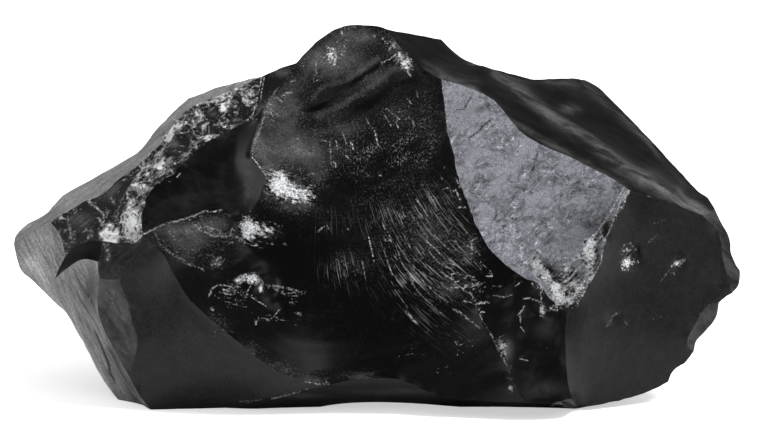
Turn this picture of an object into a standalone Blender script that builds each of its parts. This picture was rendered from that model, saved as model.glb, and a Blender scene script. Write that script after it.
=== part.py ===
"""Obsidian chunk: one lump of black volcanic glass with the flake scars of a hammered piece.

The stone is a net of arrises (the sharp edges between scars).  Each arris is a smooth line through a
few points, each facet is a closed loop of arrises, and the facet's skin is a thin film stretched over
that loop, swollen or hollowed a little and then given its ripples, steps and pits.  Because two
neighbouring facets share the points of their arris, the finished skin is one closed solid.
"""

import math

import bpy
import numpy as np
from mathutils.geometry import delaunay_2d_cdt

# ---------------------------------------------------------------- driving dimensions
LENGTH = 0.080          # longest side of the stone, metres
GLASS_COLOUR = (0.006, 0.006, 0.007, 1.0)
GLASS_ROUGHNESS = 0.16

# The net below is in millimetres.  Its front is drawn as seen by an eye in front of the stone that
# looks down a little: how far across, how far up, and how far out toward that eye.
EYE_TILT = math.radians(10.0)
EYE_DISTANCE = 582.0
AIM_UP = 20.9           # height in the drawing of the point that the eye looks at
AIM_Z = 19.55           # real height of that point above the ground
GROUND = math.nan       # written for `out` where a point lies on the ground

FRONT_STEP = 1.15       # triangle size on the front facets, mm
BACK_STEP = 2.3         # triangle size on the back facets, mm

# Corners of the front and of the outline: (across, up, out) in the drawing, mm
DRAWN_CORNERS = {
    "left_tip": (-40.4, 18.2, -5.0),
    "left_dip": (-26.8, 28.3, -7.5),
    "left_shoulder": (-21.2, 34.3, -9.5),
    "crest_left": (-13.1, 36.7, -9.5),
    "bulb_left": (-9.3, 38.2, -9.0),
    "bulb_right": (0.3, 42.1, -9.5),
    "crest_right": (6.7, 40.8, -12.0),
    "saddle": (16.7, 36.4, -13.0),
    "right_shoulder": (22.6, 36.3, -13.5),
    "right_brow": (36.8, 22.2, 0.5),
    "right_nose": (38.7, 12.8, 3.0),
    "right_notch": (37.3, 11.8, 3.2),
    "right_heel": (34.5, 6.4, 4.0),
    "right_chin": (31.7, 3.1, 5.0),
    "toe_right": (21.5, 0.1, GROUND),
    "arch_right": (8.8, 0.3, GROUND),
    "arch_left": (-6.7, 0.3, GROUND),
    "bevel_tip": (-17.1, 0.2, GROUND),
    "toe_left": (-25.3, 0.0, GROUND),
    "heel_left": (-28.9, 1.1, GROUND),
    "throat": (6.7, 36.4, -4.5),
    "cheek": (27.4, 24.2, 3.0),
    "grey_corner": (20.7, 11.2, 12.5),
    "grey_foot": (15.6, 14.7, 11.0),
    "ridge_foot": (15.9, 0.9, 14.8),
    "shell_foot": (-6.4, 2.6, 12.0),
    "bevel_right": (21.1, 1.2, 14.2),
    "ledge_right": (-15.5, 19.0, 7.0),
    "ledge_left": (-26.2, 19.3, 6.0),
    "shell_left": (-24.9, 18.1, 9.5),
    "ledge_foot": (-23.7, 16.8, 10.8),
    "streak_foot": (-14.4, 31.8, -3.0),
    "bulb_waist": (-13.4, 31.8, -1.0),
    "wedge_right": (-30.8, 18.6, 3.2),
    "wedge_tip": (-35.9, 14.4, -0.8),
    "wedge_top": (-34.7, 16.9, -0.2),
    "wedge_foot": (-31.1, 16.3, 5.2),
    "cheek_left": (-31.0, 14.5, 6.6),
    "flat_top": (-28.7, 14.3, 9.8),
    "cheek_foot": (-27.6, 3.5, 8.6),
    "band_end": (-36.4, 20.7, -1.5),
    "lid_right": (35.5, 21.4, 2.2),
    "ridge_top": (10.7, 11.2, 12.2),
}
# Corners of the back and of the ground face: (x, y, z), mm
BACK_CORNERS = {
    "back_1": (-30, 16, 14),
    "back_2": (-13, 26, 21),
    "back_3": (7, 29.5, 19),
    "back_4": (22, 27, 16),
    "back_5": (33, 16, 13),
    "base_1": (-26, 9, 0),
    "base_2": (-15, 20, 0),
    "base_3": (2, 24, 0),
    "base_4": (17, 21.5, 0),
    "base_5": (26, 13, 0),
    "base_6": (28, 1.5, 0),
}
# Curved arrises: from one corner to another through the drawn points between them
CURVED_ARRISES = {
    "rim_a": ("left_tip", "left_dip", [(-40.2, 19.1, -5.3), (-39.0, 20.4, -5.8), (-37.0, 21.5, -6.2),
        (-35.1, 23.5, -6.5), (-33.1, 24.7, -6.8), (-30.9, 25.9, -7.2), (-28.7, 27.2, -7.4)]),
    "rim_b": ("left_dip", "left_shoulder", [(-25.8, 29.3, -7.7), (-24.3, 31.3, -8.3), (-22.5, 33.1, -9.0)]),
    "rim_c": ("left_shoulder", "crest_left", [(-19.9, 34.8, -9.6), (-17.7, 35.5, -9.6),
        (-15.5, 36.1, -9.6)]),
    "rim_d": ("crest_left", "bulb_left", [(-11.1, 37.6, -9.3)]),
    "rim_e": ("bulb_left", "bulb_right", [(-8.3, 39.3, -9.2), (-6.7, 40.8, -9.6), (-5.0, 41.9, -10.0),
        (-3.9, 42.3, -10.2), (-2.0, 42.4, -10.2), (-0.5, 42.3, -9.8)]),
    "rim_f": ("bulb_right", "crest_right", [(0.8, 41.9, -9.8), (3.3, 41.4, -11.0)]),
    "rim_g": ("crest_right", "saddle", [(7.7, 39.8, -12.0), (9.1, 38.7, -12.2), (11.0, 37.9, -12.4),
        (13.7, 37.2, -12.7), (15.6, 36.7, -12.9)]),
    "rim_h": ("saddle", "right_shoulder", [(18.1, 36.4, -13.1), (19.8, 36.5, -13.3), (21.4, 36.5, -13.5)]),
    "rim_i": ("right_shoulder", "right_brow", [(23.9, 35.6, -13.2), (25.0, 34.6, -12.8),
        (26.9, 32.7, -11.8), (29.7, 29.8, -9.6), (33.0, 26.2, -6.2), (35.0, 24.1, -3.2),
        (36.0, 23.4, -1.6), (36.5, 22.7, -0.3)]),
    "rim_j": ("right_brow", "right_nose", [(37.6, 20.5, 1.2), (38.4, 19.0, 1.8), (38.6, 17.4, 2.2),
        (39.1, 16.1, 2.5), (39.6, 15.2, 2.7), (39.4, 13.7, 2.9)]),
    "rim_k": ("right_nose", "right_notch", [(37.9, 12.3, 3.1)]),
    "rim_l": ("right_notch", "right_heel", [(36.9, 10.1, 3.4), (35.6, 8.4, 3.7), (34.8, 7.5, 3.8)]),
    "rim_m": ("right_heel", "right_chin", [(33.7, 5.4, 4.4), (32.2, 4.2, 4.8)]),
    "rim_n": ("right_chin", "toe_right", [(30.2, 2.3, 5.6), (28.0, 1.5, 6.6), (25.3, 0.8, 7.9),
        (23.1, 0.4, 8.9)]),
    "rim_o": ("toe_right", "arch_right", [(18.7, 0.2, GROUND), (13.2, 0.3, GROUND)]),
    "rim_p": ("arch_right", "arch_left", [(5.5, 0.6, 8.4), (2.1, 0.8, 8.6), (-2.3, 0.9, 8.6),
        (-4.5, 0.7, 8.4)]),
    "rim_q": ("arch_left", "bevel_tip", [(-11.1, 0.2, GROUND), (-14.4, 0.1, GROUND)]),
    "rim_r": ("bevel_tip", "toe_left", [(-21.0, 0.1, GROUND)]),
    "rim_s": ("toe_left", "heel_left", [(-26.5, 0.6, GROUND)]),
    "rim_t": ("heel_left", "left_tip", [(-30.0, 2.5, 1.6), (-31.1, 4.2, 0.2), (-32.2, 6.4, -1.2),
        (-33.6, 8.8, -2.4), (-34.7, 10.7, -3.2), (-36.4, 12.3, -3.8), (-38.1, 14.0, -4.4),
        (-39.6, 15.4, -5.0), (-40.1, 16.8, -5.1)]),
    "shell_brow": ("bulb_right", "throat", [(1.3, 41.1, -9.0), (2.1, 40.0, -8.2), (3.3, 38.8, -7.2),
        (4.4, 37.8, -6.2), (5.7, 36.9, -5.2)]),
    "shell_grey": ("throat", "grey_foot", [(6.9, 34.7, -3.0), (7.2, 32.5, -1.4), (7.5, 30.3, 0.6),
        (8.0, 28.1, 2.6), (8.5, 25.9, 4.4), (9.3, 23.7, 6.0), (10.1, 21.8, 7.3), (10.7, 20.1, 8.4),
        (11.6, 18.4, 9.4), (12.8, 16.9, 10.2), (14.3, 15.6, 10.8)]),
    "lid_grey": ("throat", "cheek", [(9.1, 35.7, -4.0), (11.5, 34.7, -3.4), (12.9, 33.7, -2.9),
        (14.1, 32.3, -2.2), (15.6, 30.5, -1.2), (17.6, 29.3, -0.4), (19.8, 28.3, 0.5), (21.4, 27.6, 1.0),
        (23.1, 26.7, 1.6), (25.3, 25.6, 2.3)]),
    "lid_flank": ("cheek", "lid_right", [(29.7, 23.5, 3.0), (31.9, 22.9, 2.8), (34.1, 22.0, 2.5)]),
    "lid_end": ("lid_right", "right_brow", [(36.2, 21.6, 1.4)]),
    "grey_flank": ("cheek", "grey_corner", [(26.6, 22.6, 4.4), (25.5, 20.4, 6.4), (24.5, 18.2, 8.4),
        (23.6, 16.0, 10.2), (23.1, 14.1, 11.3), (22.0, 12.3, 12.2)]),
    "grey_toe": ("grey_corner", "grey_foot", [(19.2, 12.0, 12.4), (17.9, 13.2, 12.0), (16.8, 14.1, 11.6)]),
    "shell_toe": ("grey_foot", "ridge_top", [(13.7, 13.8, 11.4), (12.1, 12.7, 11.8)]),
    "ridge": ("ridge_top", "ridge_foot", [(11.8, 9.0, 13.1), (13.2, 6.8, 13.8), (14.1, 5.1, 14.4),
        (14.6, 3.3, 14.9)]),
    "toe_flank": ("grey_corner", "bevel_right", [(20.4, 8.8, 13.0), (20.4, 5.5, 13.8), (20.7, 2.8, 14.3)]),
    "bevel_end": ("bevel_right", "toe_right", [(21.4, 0.7, 12.6)]),
    "bevel_a": ("bevel_right", "ridge_foot", [(19.8, 1.0, 14.5), (18.1, 0.8, 14.7)]),
    "bevel_b": ("ridge_foot", "shell_foot", [(13.2, 0.9, 14.2), (9.9, 1.1, 13.5), (6.6, 1.5, 13.0),
        (4.1, 2.5, 12.2), (2.1, 3.3, 12.3), (-0.6, 3.5, 12.2), (-3.4, 3.2, 12.1)]),
    "bevel_c": ("shell_foot", "bevel_tip", [(-8.9, 2.1, 11.4), (-12.7, 1.2, 10.5)]),
    "flat_edge": ("shell_foot", "ledge_foot", [(-8.9, 3.3, 12.8), (-11.1, 4.1, 13.4), (-13.3, 5.5, 14.0),
        (-15.5, 7.3, 14.3), (-17.1, 8.6, 14.3), (-19.3, 10.5, 13.9), (-21.0, 12.1, 13.3),
        (-22.3, 14.1, 12.5), (-23.3, 15.9, 11.5)]),
    "flat_crown": ("ledge_foot", "shell_left", [(-24.3, 17.4, 10.2)]),
    "flat_top_edge": ("shell_left", "flat_top", [(-25.7, 17.4, 9.8), (-27.1, 16.3, 9.9),
        (-28.2, 15.3, 9.8)]),
    "flat_left": ("flat_top", "cheek_foot", [(-27.9, 12.1, 10.4), (-27.4, 9.9, 10.8), (-26.8, 7.7, 11.0),
        (-27.1, 5.8, 10.3), (-27.5, 4.3, 9.2)]),
    "cheek_left_edge": ("cheek_left", "cheek_foot", [(-31.2, 12.1, 7.4), (-30.9, 9.9, 7.8),
        (-30.2, 8.2, 8.1), (-28.9, 5.8, 8.4)]),
    "cheek_top": ("cheek_left", "flat_top", [(-29.8, 14.3, 8.2)]),
    "left_keel": ("cheek_foot", "toe_left", [(-26.5, 1.5, 9.2)]),
    "patch_left": ("wedge_foot", "cheek_left", [(-31.1, 15.4, 6.0)]),
    "patch_top": ("wedge_right", "ledge_left", [(-28.7, 18.3, 4.6), (-26.7, 18.5, 5.6)]),
    "patch_right": ("ledge_left", "shell_left", [(-25.4, 18.6, 8.0)]),
    "wedge_side": ("wedge_right", "wedge_foot", [(-30.8, 17.4, 4.4)]),
    "wedge_upper": ("wedge_top", "wedge_right", [(-33.8, 17.9, 0.8), (-32.5, 18.5, 1.9)]),
    "wedge_back": ("wedge_tip", "wedge_top", [(-35.3, 15.8, -0.6)]),
    "wedge_lower": ("wedge_tip", "wedge_foot", [(-34.9, 15.3, 0.8), (-33.8, 16.1, 2.2), (-32.6, 16.6, 3.8)]),
    "band_a": ("left_tip", "band_end", [(-38.4, 19.6, -3.4)]),
    "band_b": ("band_end", "crest_left", [(-34.2, 22.0, -1.6), (-30.9, 23.8, -2.0), (-28.2, 25.6, -2.6),
        (-26.2, 27.1, -3.4), (-24.9, 28.7, -4.2), (-23.5, 30.6, -5.2), (-22.1, 32.3, -6.0),
        (-20.3, 33.5, -6.8), (-18.1, 34.5, -7.6), (-15.5, 35.5, -8.5)]),
    "band_stub": ("band_end", "wedge_top", [(-35.3, 19.2, -0.8)]),
    "ledge_top": ("ledge_left", "ledge_right", [(-24.9, 19.9, 6.4), (-22.6, 20.7, 6.8), (-20.4, 21.2, 7.0),
        (-19.5, 21.9, 7.0), (-17.5, 22.0, 7.2), (-16.7, 20.6, 7.2)]),
    "ledge_low": ("ledge_foot", "ledge_right", [(-21.0, 15.9, 10.8), (-18.2, 15.3, 10.4),
        (-15.5, 16.2, 9.4), (-14.5, 17.6, 8.2)]),
    "scoop_left": ("ledge_left", "streak_foot", [(-26.4, 20.7, 4.8), (-26.3, 22.3, 3.8),
        (-25.4, 23.7, 3.0), (-24.3, 25.2, 2.2), (-23.0, 25.8, 1.8), (-21.7, 27.3, 0.8),
        (-20.1, 28.8, -0.2), (-18.3, 29.6, -1.0), (-16.1, 31.0, -2.2)]),
    "streak": ("crest_left", "streak_foot", [(-13.4, 35.0, -7.2), (-13.8, 33.3, -4.8)]),
    "bulb_edge_top": ("bulb_left", "bulb_waist", [(-10.2, 36.6, -7.0), (-11.4, 35.0, -4.8),
        (-12.6, 33.6, -2.9)]),
    "bulb_edge": ("bulb_waist", "ledge_right", [(-13.7, 30.7, 0.2), (-14.2, 29.2, 1.5), (-14.4, 27.9, 2.6),
        (-13.6, 26.9, 3.6), (-12.7, 25.7, 4.8), (-13.1, 24.2, 5.6), (-13.5, 23.1, 6.1), (-14.4, 21.8, 6.6),
        (-15.2, 20.6, 6.9)]),
    "lid_lip": ("lid_right", "right_nose", [(36.8, 20.1, 1.4), (37.5, 18.4, 2.0), (37.7, 16.5, 2.6),
        (38.2, 14.8, 3.2), (38.5, 13.6, 3.4)]),
    "heel_lip": ("right_notch", "right_heel", [(36.1, 11.5, 4.0), (34.9, 9.9, 4.8), (34.1, 8.5, 5.2),
        (33.8, 7.2, 5.0)]),
    "sole_arch": ("arch_right", "arch_left", [(3.5, 0.7, GROUND), (-1.0, 0.85, GROUND), (-4.5, 0.65, GROUND)]),
}
# Straight arrises: from one corner to another
STRAIGHT_ARRISES = {
    "scoop_roof": ("streak_foot", "bulb_waist"),
    "spine_1": ("left_tip", "back_1"),
    "spine_2": ("back_1", "back_2"),
    "spine_3": ("back_2", "back_3"),
    "spine_4": ("back_3", "back_4"),
    "spine_5": ("back_4", "back_5"),
    "rib_1": ("left_shoulder", "back_2"),
    "rib_2": ("crest_right", "back_3"),
    "rib_3": ("right_shoulder", "back_4"),
    "rib_4": ("right_brow", "back_5"),
    "rib_5": ("right_heel", "back_5"),
    "post_1": ("back_1", "base_1"),
    "post_2": ("back_2", "base_2"),
    "post_3": ("back_3", "base_3"),
    "post_4": ("back_4", "base_4"),
    "post_5": ("back_5", "base_5"),
    "sole_1": ("heel_left", "base_1"),
    "sole_2": ("base_1", "base_2"),
    "sole_3": ("base_2", "base_3"),
    "sole_4": ("base_3", "base_4"),
    "sole_5": ("base_4", "base_5"),
    "sole_6": ("base_5", "base_6"),
    "sole_7": ("base_6", "toe_right"),
}
# Facets: swelling (1/mm, negative is hollow) and the loop of arrises, anticlockwise from outside; a
# minus sign is an arris followed backward
FRONT_FACETS = {
    "band": (0.004, "-rim_c -rim_b -rim_a band_a band_b"),
    "rubble": (0.004, "-band_b band_stub wedge_upper patch_top scoop_left -streak"),
    "streak_face": (0.004, "-rim_d streak scoop_roof -bulb_edge_top"),
    "scoop": (-0.2, "-scoop_left ledge_top -bulb_edge -scoop_roof"),
    "ledge": (0.006, "-ledge_top patch_right -flat_crown ledge_low"),
    "patch": (0, "-patch_top wedge_side patch_left cheek_top -flat_top_edge -patch_right"),
    "wedge": (-0.15, "-wedge_upper -wedge_back wedge_lower -wedge_side"),
    "left_flank": (0.004, "-band_a -rim_t -rim_s -left_keel -cheek_left_edge -patch_left -wedge_lower "
        "wedge_back -band_stub"),
    "cheek": (0, "-cheek_top cheek_left_edge -flat_left"),
    "flat": (0.0015, "flat_top_edge flat_left left_keel -rim_r -bevel_c flat_edge flat_crown"),
    "shell": (0, "-rim_e bulb_edge_top bulb_edge -ledge_low -flat_edge -bevel_b -ridge -shell_toe "
        "-shell_grey -shell_brow"),
    "toe": (-0.1, "shell_toe ridge -bevel_a -toe_flank grey_toe"),
    "bevel": (0, "bevel_c -rim_q -rim_p -rim_o -bevel_end bevel_a bevel_b"),
    "grey": (-0.003, "shell_grey -grey_toe -grey_flank -lid_grey"),
    "lid": (-0.004, "shell_brow lid_grey lid_flank lid_end -rim_i -rim_h -rim_g -rim_f"),
    "brow_lip": (0, "-lid_end lid_lip -rim_j"),
    "flank": (0.003, "grey_flank toe_flank bevel_end -rim_n -rim_m -heel_lip -rim_k -lid_lip -lid_flank"),
    "heel_chip": (-0.12, "heel_lip -rim_l"),
}
BACK_FACETS = {
    "left_low": (-0.01, "rim_t spine_1 post_1 -sole_1"),
    "left_high": (-0.008, "rim_a rim_b rib_1 -spine_2 -spine_1"),
    "crest_back": (-0.018, "rim_c rim_d rim_e rim_f rib_2 -spine_3 -rib_1"),
    "right_crest_back": (-0.02, "rim_g rim_h rib_3 -spine_4 -rib_2"),
    "right_high": (-0.014, "rim_i rib_4 -spine_5 -rib_3"),
    "right_end": (-0.012, "rim_j rim_k rim_l rib_5 -rib_4"),
    "right_under": (-0.006, "rim_m rim_n -sole_7 -sole_6 -post_5 -rib_5"),
    "back_left": (-0.012, "spine_2 post_2 -sole_2 -post_1"),
    "back_mid": (-0.02, "spine_3 post_3 -sole_3 -post_2"),
    "back_right": (-0.014, "spine_4 post_4 -sole_4 -post_3"),
    "back_end": (-0.02, "spine_5 post_5 -sole_5 -post_4"),
    "base": (0, "rim_s sole_1 sole_2 sole_3 sole_4 sole_5 sole_6 sole_7 rim_o sole_arch rim_q rim_r"),
    "arch": (0, "rim_p -sole_arch"),
}

# How far each kind of arris wanders from its smooth line, mm
CRUSH = {"grey_flank": 0.35, "grey_toe": 0.4, "shell_toe": 0.4, "band_b": 0.3, "scoop_left": 0.35,
         "bevel_a": 0.2, "patch_top": 0.25, "shell_grey": 0.12, "rim_b": 0.12, "rim_c": 0.12}
BACK_WANDER = 0.5

# The blow that freed the main scar landed here: its ripples run round this point
FOCUS = (-6.1, 42.4)
# Points that the back scars' broad ripples run round: x, y, z, mm
BACK_RINGS = {
    "left_low": (-40.0, 6.0, 16.0), "left_high": (-20.0, 10.0, 33.0), "crest_back": (-4.0, 10.0, 40.0),
    "right_crest_back": (16.0, 13.0, 33.0), "right_high": (24.0, 14.0, 33.0), "right_end": (40.0, -2.0, 16.0),
    "right_under": (34.0, -4.0, 5.0), "back_left": (-30.0, 16.0, 14.0), "back_mid": (-13.0, 26.0, 21.0),
    "back_right": (22.0, 27.0, 16.0), "back_end": (33.0, 16.0, 13.0),
}
# Small bumps and pits: facet, across, up, radius, height
DENTS = [
    ("flank", 28.1, 16.8, 1.3, -0.7), ("flank", 33.0, 16.2, 1.2, -0.4), ("flank", 25.6, 10.1, 0.9, -0.3),
    ("shell", -13.3, 14.3, 1.8, 0.6), ("shell", -11.6, 12.4, 2.0, -0.7), ("shell", -5.6, 38.6, 4.0, 0.7),
    ("shell", 0.0, 22.0, 9.0, -1.0), ("shell", -11.0, 24.0, 2.6, 0.35), ("toe", 17.4, 10.6, 1.8, -0.6),
    ("grey", 20.5, 15.0, 2.4, -0.5), ("grey", 17.5, 15.8, 1.8, 0.35), ("rubble", -27.0, 21.0, 1.8, 0.5),
    ("rubble", -22.0, 29.0, 1.8, 0.5), ("flat", -20.0, 7.0, 7.0, 0.25),
]
# Soft ridges: facet, height, width, and the drawn points of the crest
RIDGES = [
    ("lid", 0.7, 1.7, [(11.0, 37.0), (15.5, 34.4), (19.0, 31.7), (22.7, 29.4), (27.0, 26.3), (32.0, 23.7)]),
    ("lid", 0.4, 1.5, [(18.4, 36.0), (22.5, 35.6), (26.0, 32.9), (30.0, 28.9)]),
    ("left_flank", 0.4, 1.2, [(-35.4, 13.6), (-32.6, 8.8), (-29.9, 4.4)]),
]
SMOOTH_SCAR = ((-33.6, 21.4), (-26.2, 26.8), 1.7)     # start, end and width of the even strip in the rubble


# ---------------------------------------------------------------- from the drawing to space
def sight_axes():
    """Right, up and forward directions of the eye."""
    tilt_cos, tilt_sin = math.cos(EYE_TILT), math.sin(EYE_TILT)
    right = np.array([1.0, 0.0, 0.0])
    up = np.array([0.0, tilt_sin, tilt_cos])
    forward = np.array([0.0, tilt_cos, -tilt_sin])
    return right, up, forward


def place(drawn):
    """Space point of a drawn one: its sight line meets the upright plane y = -out, or the ground."""
    across, rise, out = np.asarray(drawn, dtype=float).T
    right, up, forward = sight_axes()
    aim = np.array([0.0, 0.0, AIM_Z])
    eye = aim - EYE_DISTANCE * forward
    sight = aim + across[:, None] * right + (rise - AIM_UP)[:, None] * up - eye
    on_ground = np.isnan(out)
    reach = np.where(on_ground, -eye[2] / sight[:, 2], (-out - eye[1]) / sight[:, 1])
    points = eye + reach[:, None] * sight
    points[on_ground, 2] = 0.0
    return points


def seen(points):
    """Drawn position (across, up) of space points: the inverse of place."""
    right, up, forward = sight_axes()
    from_eye = points - (np.array([0.0, 0.0, AIM_Z]) - EYE_DISTANCE * forward)
    shrink = EYE_DISTANCE / (from_eye @ forward)
    return np.column_stack([shrink * (from_eye @ right), AIM_UP + shrink * (from_eye @ up)])


# ---------------------------------------------------------------- noise
def scatter(cell, seed):
    """A repeatable number from -1 to 1 for each whole-numbered cell."""
    mixed = (cell[:, 0] * 73856093) ^ (cell[:, 1] * 19349663) ^ (cell[:, 2] * 83492791) ^ seed
    mixed = (mixed & 0xFFFFFF) * 1103515245 + 12345
    mixed = (mixed ^ (mixed >> 15)) & 0xFFFFFF
    return mixed / 0x7FFFFF - 1.0


def noise(points, size, seed=0):
    """Smooth noise between -1 and 1 whose lumps are about `size` across."""
    whole = np.floor(points / size)
    part = points / size - whole
    ease = part * part * (3.0 - 2.0 * part)
    total = np.zeros(len(points))
    for corner in np.ndindex(2, 2, 2):
        weight = np.prod(np.where(np.array(corner) == 1, ease, 1.0 - ease), axis=1)
        total += weight * scatter((whole + corner).astype(np.int64), seed)
    return total


# ---------------------------------------------------------------- arrises
def smooth_line(knots, step):
    """Even points on the curve through the knots; slopes are chord averages, so it never overshoots."""
    chord = np.linalg.norm(np.diff(knots, axis=0), axis=1)
    slope = np.empty_like(knots)
    slope[0] = (knots[1] - knots[0]) / chord[0]
    slope[-1] = (knots[-1] - knots[-2]) / chord[-1]
    slope[1:-1] = (knots[2:] - knots[:-2]) / (chord[1:] + chord[:-1])[:, None]
    t = np.linspace(0.0, 1.0, 12, endpoint=False)[:, None]
    pieces = []
    for k, length in enumerate(chord):
        pieces.append((1 + 2 * t) * (1 - t) ** 2 * knots[k] + t * (1 - t) ** 2 * length * slope[k]
                      + t ** 2 * (3 - 2 * t) * knots[k + 1] + t ** 2 * (t - 1) * length * slope[k + 1])
    dense = np.vstack(pieces + [knots[-1:]])
    run = np.concatenate([[0.0], np.cumsum(np.linalg.norm(np.diff(dense, axis=0), axis=1))])
    even = np.linspace(0.0, run[-1], max(2, round(run[-1] / step)) + 1)
    return np.column_stack([np.interp(even, run, dense[:, axis]) for axis in range(3)])


def wander(line, amount):
    """Shift the inner points of an arris by noise, keeping its ends and any ground line in place."""
    share = np.sin(np.linspace(0.0, math.pi, len(line)))[:, None] ** 0.5
    shift = np.column_stack([noise(line, 2.6, seed) for seed in (11, 12, 13)])
    if np.all(line[:, 2] == 0.0):
        shift[:, 2] = 0.0
    return line + amount * share * shift


def arris_lines(corners):
    """All arrises as (points x 3) arrays that start and end on their corners."""
    lines = {}
    for name, (start, end, between) in CURVED_ARRISES.items():
        knots = np.vstack([corners[start], place(between), corners[end]])
        lines[name] = wander(smooth_line(knots, FRONT_STEP), CRUSH.get(name, 0.0))
    for name, (start, end) in STRAIGHT_ARRISES.items():
        knots = np.vstack([corners[start], corners[end]])
        lines[name] = wander(smooth_line(knots, BACK_STEP), BACK_WANDER)
    return lines


# ---------------------------------------------------------------- facet skins
def facet_frame(outline):
    """Middle of a loop and its plane's two axes and outward normal (area vector of the loop)."""
    middle = outline.mean(axis=0)
    around = outline - middle
    normal = np.cross(around, np.roll(around, -1, axis=0)).sum(axis=0)
    normal /= np.linalg.norm(normal)
    side = np.cross(normal, [0.0, 0.0, 1.0] if abs(normal[2]) < 0.9 else [0.0, 1.0, 0.0])
    side /= np.linalg.norm(side)
    return middle, side, np.cross(normal, side), normal


def grid_inside(flat, step):
    """Points of a triangular grid inside a flat outline, and at least 0.6 of a step from its edge."""
    low, high = flat.min(axis=0), flat.max(axis=0)
    rows = np.arange(low[1], high[1], step * math.sqrt(0.75))
    columns = np.arange(low[0] - step, high[0], step)
    x, y = np.meshgrid(columns, rows)
    x = x + 0.5 * step * (np.arange(len(rows)) % 2)[:, None]
    grid = np.column_stack([x.ravel(), y.ravel()])
    following = np.roll(flat, -1, axis=0)
    inside = np.zeros(len(grid), dtype=bool)
    gap = np.full(len(grid), np.inf)
    for a, b in zip(flat, following):
        level = (a[1] > grid[:, 1]) != (b[1] > grid[:, 1])
        crossing = a[0] + (grid[:, 1] - a[1]) * (b[0] - a[0]) / (b[1] - a[1] + 1e-30)
        inside ^= level & (grid[:, 0] < crossing)
        along = np.clip(((grid - a) @ (b - a)) / ((b - a) @ (b - a)), 0.0, 1.0)
        gap = np.minimum(gap, np.linalg.norm(grid - a - along[:, None] * (b - a), axis=1))
    keep = inside & (gap > 0.6 * step)
    return grid[keep], gap[keep]


def triangles_of(flat, edge_count):
    """Delaunay triangles over the points, kept inside the outline made by the first edge_count."""
    ring = list(range(edge_count))
    verts, _, faces, origin, _, _ = delaunay_2d_cdt([tuple(p) for p in flat], [], [ring], 1, 1e-6)
    if len(verts) != len(flat):
        raise ValueError("a facet's outline crosses itself when laid flat")
    first = [ids[0] for ids in origin]
    return np.array([[first[v] for v in face] for face in faces])


def stretch(flat, triangles, height, free, swell):
    """Film heights: the sum of w (h_i - h_j) is swell x area, with cotangent weights w (gradients)."""
    count = len(flat)
    ends, weights = [], []
    load = np.zeros(count)
    for k in range(3):
        i, j, apex = triangles[:, k], triangles[:, (k + 1) % 3], triangles[:, (k + 2) % 3]
        u, v = flat[i] - flat[apex], flat[j] - flat[apex]
        area = np.abs(u[:, 0] * v[:, 1] - u[:, 1] * v[:, 0])
        ends.append(np.column_stack([i, j]))
        weights.append(np.clip(0.5 * np.sum(u * v, axis=1) / np.maximum(area, 1e-9), -1.0, 20.0))
        load += np.bincount(i, swell * area / 6.0, count)
    i, j = np.vstack(ends).T
    weights = np.concatenate(weights)

    def pull(h):
        flow = weights * (h[i] - h[j])
        return np.bincount(i, flow, count) - np.bincount(j, flow, count)

    height = height.copy()
    rest = np.where(free, load - pull(height), 0.0)
    way = rest.copy()
    power = rest @ rest
    for _ in range(600):
        if power < 1e-12:
            break
        spread = np.where(free, pull(way), 0.0)
        pace = power / (way @ spread)
        height += pace * way
        rest -= pace * spread
        before, power = power, rest @ rest
        way = rest + power / before * way
    return height


def near_line(drawn, start, end, width):
    """Bell shape exp(-2 d^2) across the drawn line from start to end; d is distance over width."""
    a, b = np.array(start), np.array(end)
    along = np.clip((drawn - a) @ (b - a) / ((b - a) @ (b - a)), 0.0, 1.0)
    away = np.linalg.norm(drawn - a - along[:, None] * (b - a), axis=1)
    return np.exp(-2.0 * (away / width) ** 2)


def relief(name, points):
    """Height added to a facet's film: ripples, waves, rubble and the listed dents and ridges, mm."""
    drawn = seen(points)
    height = np.zeros(len(points))
    for facet, size, width, crest in RIDGES:
        if facet == name:
            pieces = [near_line(drawn, start, end, width) for start, end in zip(crest, crest[1:])]
            height += size * np.max(pieces, axis=0)
    for facet, across, rise, radius, size in DENTS:
        if facet == name:
            away = np.hypot(drawn[:, 0] - across, drawn[:, 1] - rise) / radius
            height += size * np.exp(-2.0 * away ** 2)
    if name == "shell":
        ring = np.hypot(drawn[:, 0] - FOCUS[0], drawn[:, 1] - FOCUS[1])
        strength = 0.02 + 0.06 * np.exp(-((ring - 9.0) / 5.0) ** 2)
        height += strength * np.sin(2.0 * math.pi * ring / 3.8 + 2.0 * noise(points, 9.0, 5))
    elif name == "lid":
        height += 0.25 * noise(points * [0.35, 1.0, 1.0], 5.0, 21)
    elif name in ("rubble", "patch"):
        rough = 1.0 - 0.85 * near_line(drawn, *SMOOTH_SCAR)
        height += rough * (0.7 * noise(points, 2.6, 31) + 0.3 * noise(points, 5.0, 32))
    elif name == "left_flank":
        height += 0.35 * noise(points @ [[1, 0, 0.6], [0, 1, 0], [-0.3, 0, 0.2]], 2.6, 41)
    elif name in BACK_RINGS:
        away = np.linalg.norm(points - BACK_RINGS[name], axis=1)
        height += 0.3 * noise(points, 7.0, 51)
        height += 0.22 * np.sin(2.0 * math.pi * away / 7.5 + 2.0 * noise(points, 12.0, 52))
    return height


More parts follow.
